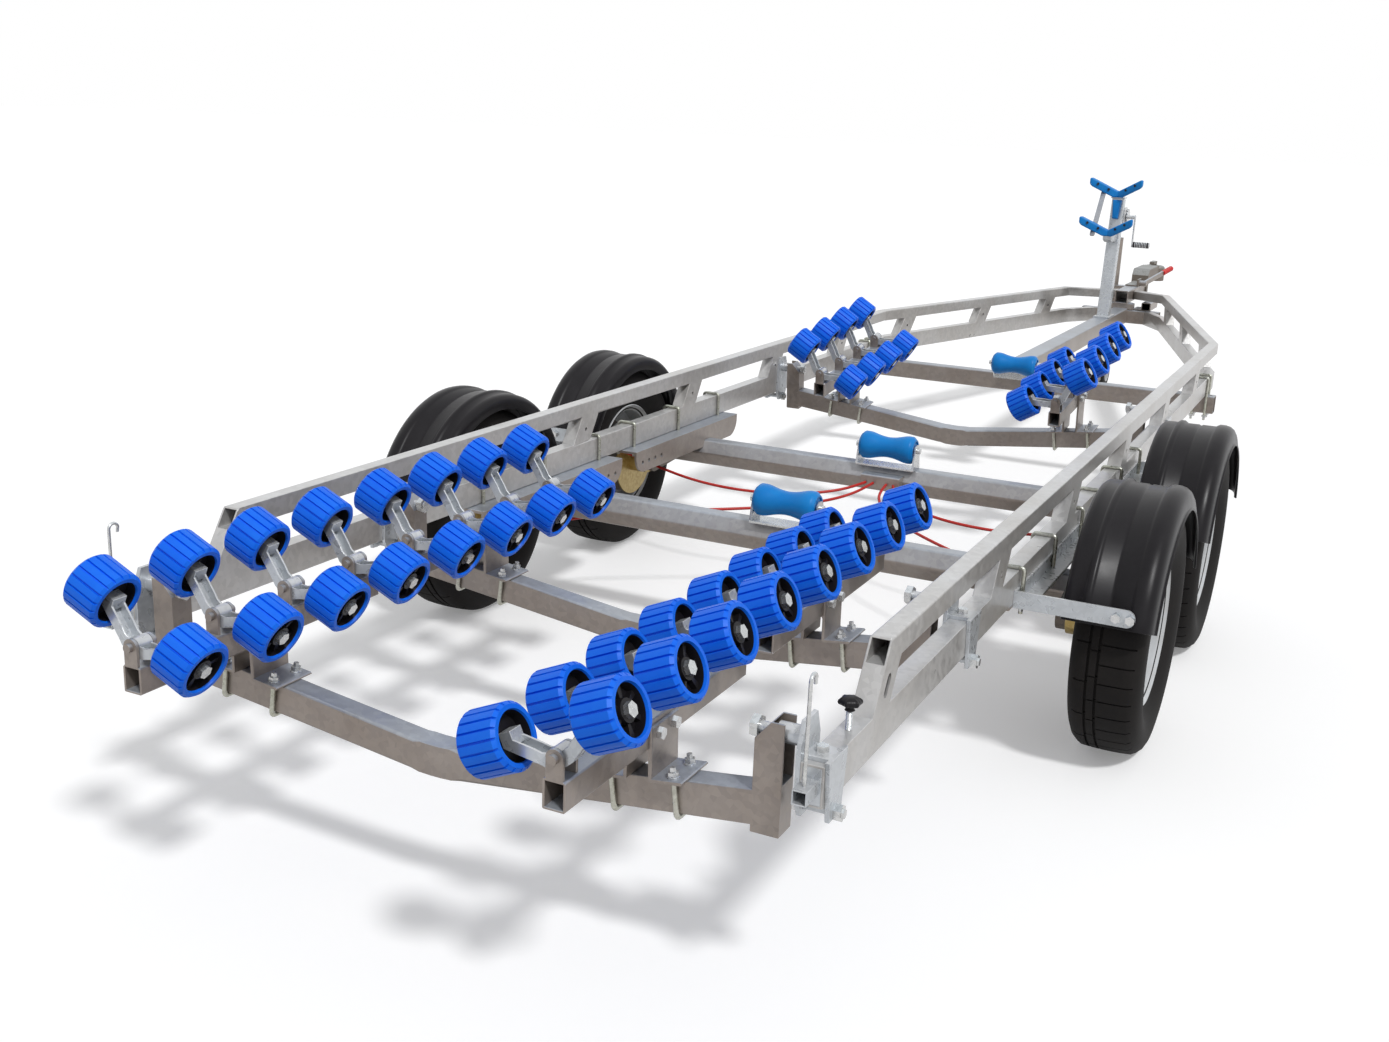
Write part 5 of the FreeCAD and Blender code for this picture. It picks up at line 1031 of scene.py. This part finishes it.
def ratchet_mesh():
    # Sixteen saw teeth: every fourth edge column of the rim is drawn in.
    piece = turned_piece([(0.016, 0.0), (0.041, 0.0), (0.041, 0.006), (0.016, 0.006)], 64, bright_zinc)
    bpy.ops.object.mode_set(mode="OBJECT")
    edit_edges(piece, lambda a, b: a.xy.length > 0.040 and b.xy.length > 0.040 and abs(a.z - b.z) > 0.004 and
               int(round(around(a) / (2 * math.pi) * 64)) % 4 == 0)
    bpy.ops.transform.resize(value=(0.86, 0.86, 1.0), center_override=(0.0, 0.0, 0.0))
    end_edit()
    return ready_mesh(piece, 30.0)


finish_piece("winch_ratchet", [(ratchet_mesh(), pose_matrix((winch_x, -0.0425, 1.0), (0, 1, 0), (1, 0, 0)))],
             "winch_reel", "galvanised")
finish_piece("winch_strap", [(strap_roll_mesh(), pose_matrix((winch_x, 0, 1.0), (0, 1, 0), (1, 0, 0)))], "winch_reel",
             "black_plastic")
finish_piece("coupling_gaiter", [(gaiter_mesh(), pose_matrix((3.589, 0, 0.629), (1, 0, 0), (0, 0, 1)))], "frame",
             "black_rubber")


# Jockey wheel's tyre with rounded shoulders and a shallow groove each side of the crown
def jockey_tyre_mesh():
    half = [(0.0620, -0.0262), (0.0660, -0.0270), (0.0820, -0.0268), (0.0900, -0.0252), (0.0955, -0.0216), (0.0985, -0.0160),
            (0.0992, -0.0110), (0.0970, -0.0100), (0.0970, -0.0080), (0.0996, -0.0070)]
    profile = half + [(0.1000, -0.0030), (0.1000, 0.0030)] + [(radius, -height) for radius, height in half[::-1]]
    piece = turned_piece(profile + [profile[0]], 72, black_rubber, capped=False)
    end_edit()
    return ready_mesh(piece, 35.0)


jockey_wheel = pose_matrix((tandem + 4.648, 0.108, 0.100), (0, 1, 0), (1, 0, 0))
finish_piece("jockey_tread", [(jockey_tyre_mesh(), jockey_wheel)], "jockey_wheel", "black_rubber", "jockey_tyre")


# Fasteners
def ubolt_mesh(width, height, radius=0.005, bend=0.009, thread=0.024, finish=None):
    # Bow along X at height zero, legs hanging down; a circle is pushed and spun round it.
    bpy.ops.object.select_all(action="DESELECT")
    bpy.ops.mesh.primitive_circle_add(vertices=10, radius=radius, location=(-width / 2, 0, -height), fill_type="NGON")
    piece = bpy.context.object
    piece.data.materials.append(finish or bolt_zinc)
    start_edit("FACE")
    bpy.ops.mesh.select_all(action="SELECT")
    bpy.ops.mesh.extrude_region_move(TRANSFORM_OT_translate={"value": (0, 0, height - bend)})
    bpy.ops.mesh.spin(steps=5, angle=math.pi / 2, center=(-width / 2 + bend, 0, -bend), axis=(0, -1, 0))
    bpy.ops.mesh.extrude_region_move(TRANSFORM_OT_translate={"value": (width - 2 * bend, 0, 0)})
    bpy.ops.mesh.spin(steps=5, angle=math.pi / 2, center=(width / 2 - bend, 0, -bend), axis=(0, -1, 0))
    bpy.ops.mesh.extrude_region_move(TRANSFORM_OT_translate={"value": (0, 0, -height + bend)})
    bpy.ops.mesh.select_all(action="SELECT")
    bpy.ops.mesh.remove_doubles(threshold=0.00005)
    bpy.ops.mesh.normals_make_consistent(inside=False)
    end_edit()
    return ready_mesh(piece, 40.0)


def washer_mesh(radius, height):
    piece = add_cylinder(20, radius, height, (0, 0, height / 2))
    piece.data.materials.append(bright_zinc)
    start_edit()
    edit_faces(piece, lambda c, n: n.z > 0.9)
    bpy.ops.mesh.inset(thickness=0.0006, depth=0.0004)
    end_edit()
    return ready_mesh(piece, 30.0)


nut_16 = hex_bolt_mesh(0.017, 0.008, 0.008, 0.005)
bolt_20 = hex_bolt_mesh(0.019, 0.010, 0.0, 0.0)
bolt_26 = hex_bolt_mesh(0.026, 0.0125, 0.004, 0.008)
nut_34 = hex_bolt_mesh(0.034, 0.0135, 0.003, 0.010)
wheel_nut = hex_bolt_mesh(0.0225, 0.0135, 0.0, 0.0)
washer = washer_mesh(0.011, 0.002)
TOWARDS = {"up": (0, 0, 1), "down": (0, 0, -1), "left": (0, 1, 0), "right": (0, -1, 0), "tail": (-1, 0, 0),
           "nose": (1, 0, 0)}


def fastener(mesh, x, y, z, towards):
    along = TOWARDS[towards]
    near = (1, 0, 0) if abs(along[0]) < 0.5 else (0, 1, 0)
    return mesh, pose_matrix((x, y, z), along, near)


def both_sides(copies):
    flip = Matrix.Scale(-1.0, 4, (0, 1, 0))
    turned = []
    for mesh, place in copies:
        # A mirrored place with its own y axis turned back is a plain rotation again.
        turned.append((mesh, flip @ place @ Matrix.Scale(-1.0, 4, (0, 1, 0))))
    return copies + turned


cradle_slope = 0.122
slope_angle = math.atan(cradle_slope)


def cradle_swing(station):
    cradle_x, lift, nose_up = cradle_stations[station]
    hinge = Vector((cradle_x, 0, pivot_height))
    return (Matrix.Translation(hinge) @ Matrix.Rotation(-math.radians(nose_up), 4, "Y") @ Matrix.Translation(-hinge))


cradle_bow = ubolt_mesh(0.060, 0.089)
for station, (cradle_x, lift, nose_up) in cradle_stations.items():
    bar_lift = 0.020 if station == "front" else 0.0
    copies = []
    for sign in (-1, 1):
        y = 0.421 + sign * (0.020 + 0.062 * 0.62)
        top = 0.307 + bar_lift + cradle_slope * y + 0.030 / math.cos(slope_angle)
        lean = Matrix.Rotation(slope_angle, 4, "X")
        seat = Matrix.Translation((cradle_x, y, top)) @ lean
        copies.append((cradle_bow, seat @ Matrix.Translation((0, 0, -0.0665)) @ Matrix.Rotation(math.pi, 4, "X")))
        for dx in (-0.030, 0.030):
            copies.append((washer, seat @ Matrix.Translation((dx, 0, 0.006))))
            copies.append((nut_16, seat @ Matrix.Translation((dx, 0, 0.008))))
        face = 0.421 + sign * (0.020 + 0.006)
        for dx in (-0.026, 0.026):
            copies.append(fastener(bolt_20, cradle_x + dx, face, 0.447 + lift + 0.025, "left" if sign > 0 else "right"))
    swing = cradle_swing(station)
    copies = [(mesh, swing @ place) for mesh, place in both_sides(copies)]
    piece = join_copies("cradle_ubolts_" + station, copies)
    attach(piece, "swing_cradle_" + station)

# U-bolts over the lower rails at the axle brackets, and over the cross-member's ends
rail_bow = ubolt_mesh(0.056, 0.106)
bar_bow = ubolt_mesh(0.050, 0.172)
copies = []
for x in wheel_stations.values():
    for dx in (-0.305, 0.0, 0.305):
        place = pose_matrix((x + dx, 0.723, 0.492), (0, 0, 1), (0, 1, 0))
        copies.append((rail_bow, place))
        for y in (0.695, 0.751):
            copies.append(fastener(nut_16, x + dx, y, 0.408, "down"))
for dx in (-0.036, 0.036):
    copies.append((bar_bow, pose_matrix((tandem + 2.308 + dx, 0.720, 0.492), (0, 0, 1), (0, 1, 0))))
    for y in (0.695, 0.745):
        copies.append(fastener(nut_16, tandem + 2.308 + dx, y, 0.340, "down"))
for cradle_x, lift, nose_up in cradle_stations.values():
    copies.append(fastener(bolt_26, cradle_x, 0.748, 0.398, "left"))
    copies.append(fastener(bolt_26, cradle_x, 0.692, 0.398, "right"))
    copies.append(fastener(nut_34, cradle_x, 0.615, 0.512, "right"))
    copies.append(fastener(bolt_20, cradle_x, 0.720, 0.495, "up"))
for x in wheel_stations.values():
    for sign in (-1, 1):
        face = "tail" if sign < 0 else "nose"
        for y in (0.965, 0.995):
            copies.append(fastener(bolt_20, x + sign * (0.3343 + 0.006), y, 0.428, face))
piece = join_copies("frame_fasteners", both_sides(copies))
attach(piece, "frame")

# Nuts on every wheel
for end, x in wheel_stations.items():
    for side, sign in (("left", 1), ("right", -1)):
        copies = []
        for k in range(5):
            turn = math.pi / 2 + 2 * math.pi / 5 * k
            copies.append(fastener(wheel_nut, x + 0.056 * math.cos(turn), sign * 0.957,
                                   0.298 + 0.056 * math.sin(turn), "left" if sign > 0 else "right"))
        piece = join_copies("wheel_nuts_" + end + "_" + side, copies)
        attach(piece, "wheel_" + end + "_" + side)


def make_light(name, kind, energy, size, place, aim):
    lamp = bpy.data.lights.new(name, kind)
    lamp.energy = energy
    if kind == "AREA":
        lamp.size = size
    else:
        lamp.angle = size
    holder = bpy.data.objects.new(name, lamp)
    bpy.context.scene.collection.objects.link(holder)
    holder.location = place
    holder.rotation_euler = (Vector(aim) - Vector(place)).to_track_quat("-Z", "Y").to_euler()


make_light("soft_sun", "SUN", 1.9, 0.12, (-4.0, -5.5, 8.5), (0.0, 0.0, 0.0))


def seen_directly(tree):
    # One where a ray comes from the camera, a reflection or a clear body; zero for scattered light.
    paths = tree.nodes.new("ShaderNodeLightPath")
    total = paths.outputs["Is Camera Ray"]
    for kind in ("Is Glossy Ray", "Is Transmission Ray"):
        either = tree.nodes.new("ShaderNodeMath")
        either.operation = "MAXIMUM"
        tree.links.new(total, either.inputs[0])
        tree.links.new(paths.outputs[kind], either.inputs[1])
        total = either.outputs["Value"]
    return total


world = bpy.data.worlds.new("pale_studio")
world.use_nodes = True
bpy.context.scene.world = world
tree = world.node_tree
soft = tree.nodes["Background"]
soft.inputs["Color"].default_value = (0.97, 0.98, 1.0, 1.0)
soft.inputs["Strength"].default_value = 0.5
white = tree.nodes.new("ShaderNodeBackground")
white.inputs["Color"].default_value = (1.0, 1.0, 1.0, 1.0)
white.inputs["Strength"].default_value = 1.0
choose = tree.nodes.new("ShaderNodeMixShader")
tree.links.new(seen_directly(tree), choose.inputs["Fac"])
tree.links.new(soft.outputs["Background"], choose.inputs[1])
tree.links.new(white.outputs["Background"], choose.inputs[2])
tree.links.new(choose.outputs["Shader"], tree.nodes["World Output"].inputs["Surface"])
bpy.context.scene.view_settings.view_transform = "Standard"

bpy.ops.object.select_all(action="DESELECT")
bpy.ops.mesh.primitive_plane_add(size=160.0, location=(0.0, 0.0, 0.0))
floor = bpy.context.object
floor.name = "studio_floor"
pale_floor = new_material("pale_floor", (0.86, 0.86, 0.86), 0.9)
tree, shader = shader_nodes(pale_floor)
glow = tree.nodes.new("ShaderNodeEmission")
glow.inputs["Color"].default_value = (1.0, 1.0, 1.0, 1.0)
strength = tree.nodes.new("ShaderNodeMath")
strength.operation = "MULTIPLY"
strength.inputs[1].default_value = 0.22
tree.links.new(seen_directly(tree), strength.inputs[0])
tree.links.new(strength.outputs["Value"], glow.inputs["Strength"])
together = tree.nodes.new("ShaderNodeAddShader")
tree.links.new(shader.outputs["BSDF"], together.inputs[0])
tree.links.new(glow.outputs["Emission"], together.inputs[1])
tree.links.new(together.outputs["Shader"], tree.nodes["Material Output"].inputs["Surface"])
ground_tone = tree.nodes.new("ShaderNodeMix")
ground_tone.data_type = "RGBA"
ground_tone.inputs["A"].default_value = (0.40, 0.37, 0.34, 1.0)
ground_tone.inputs["B"].default_value = (0.86, 0.86, 0.86, 1.0)
tree.links.new(strength.inputs[0].links[0].from_socket, ground_tone.inputs["Factor"])
tree.links.new(ground_tone.outputs["Result"], shader.inputs["Base Color"])
floor.data.materials.append(pale_floor)
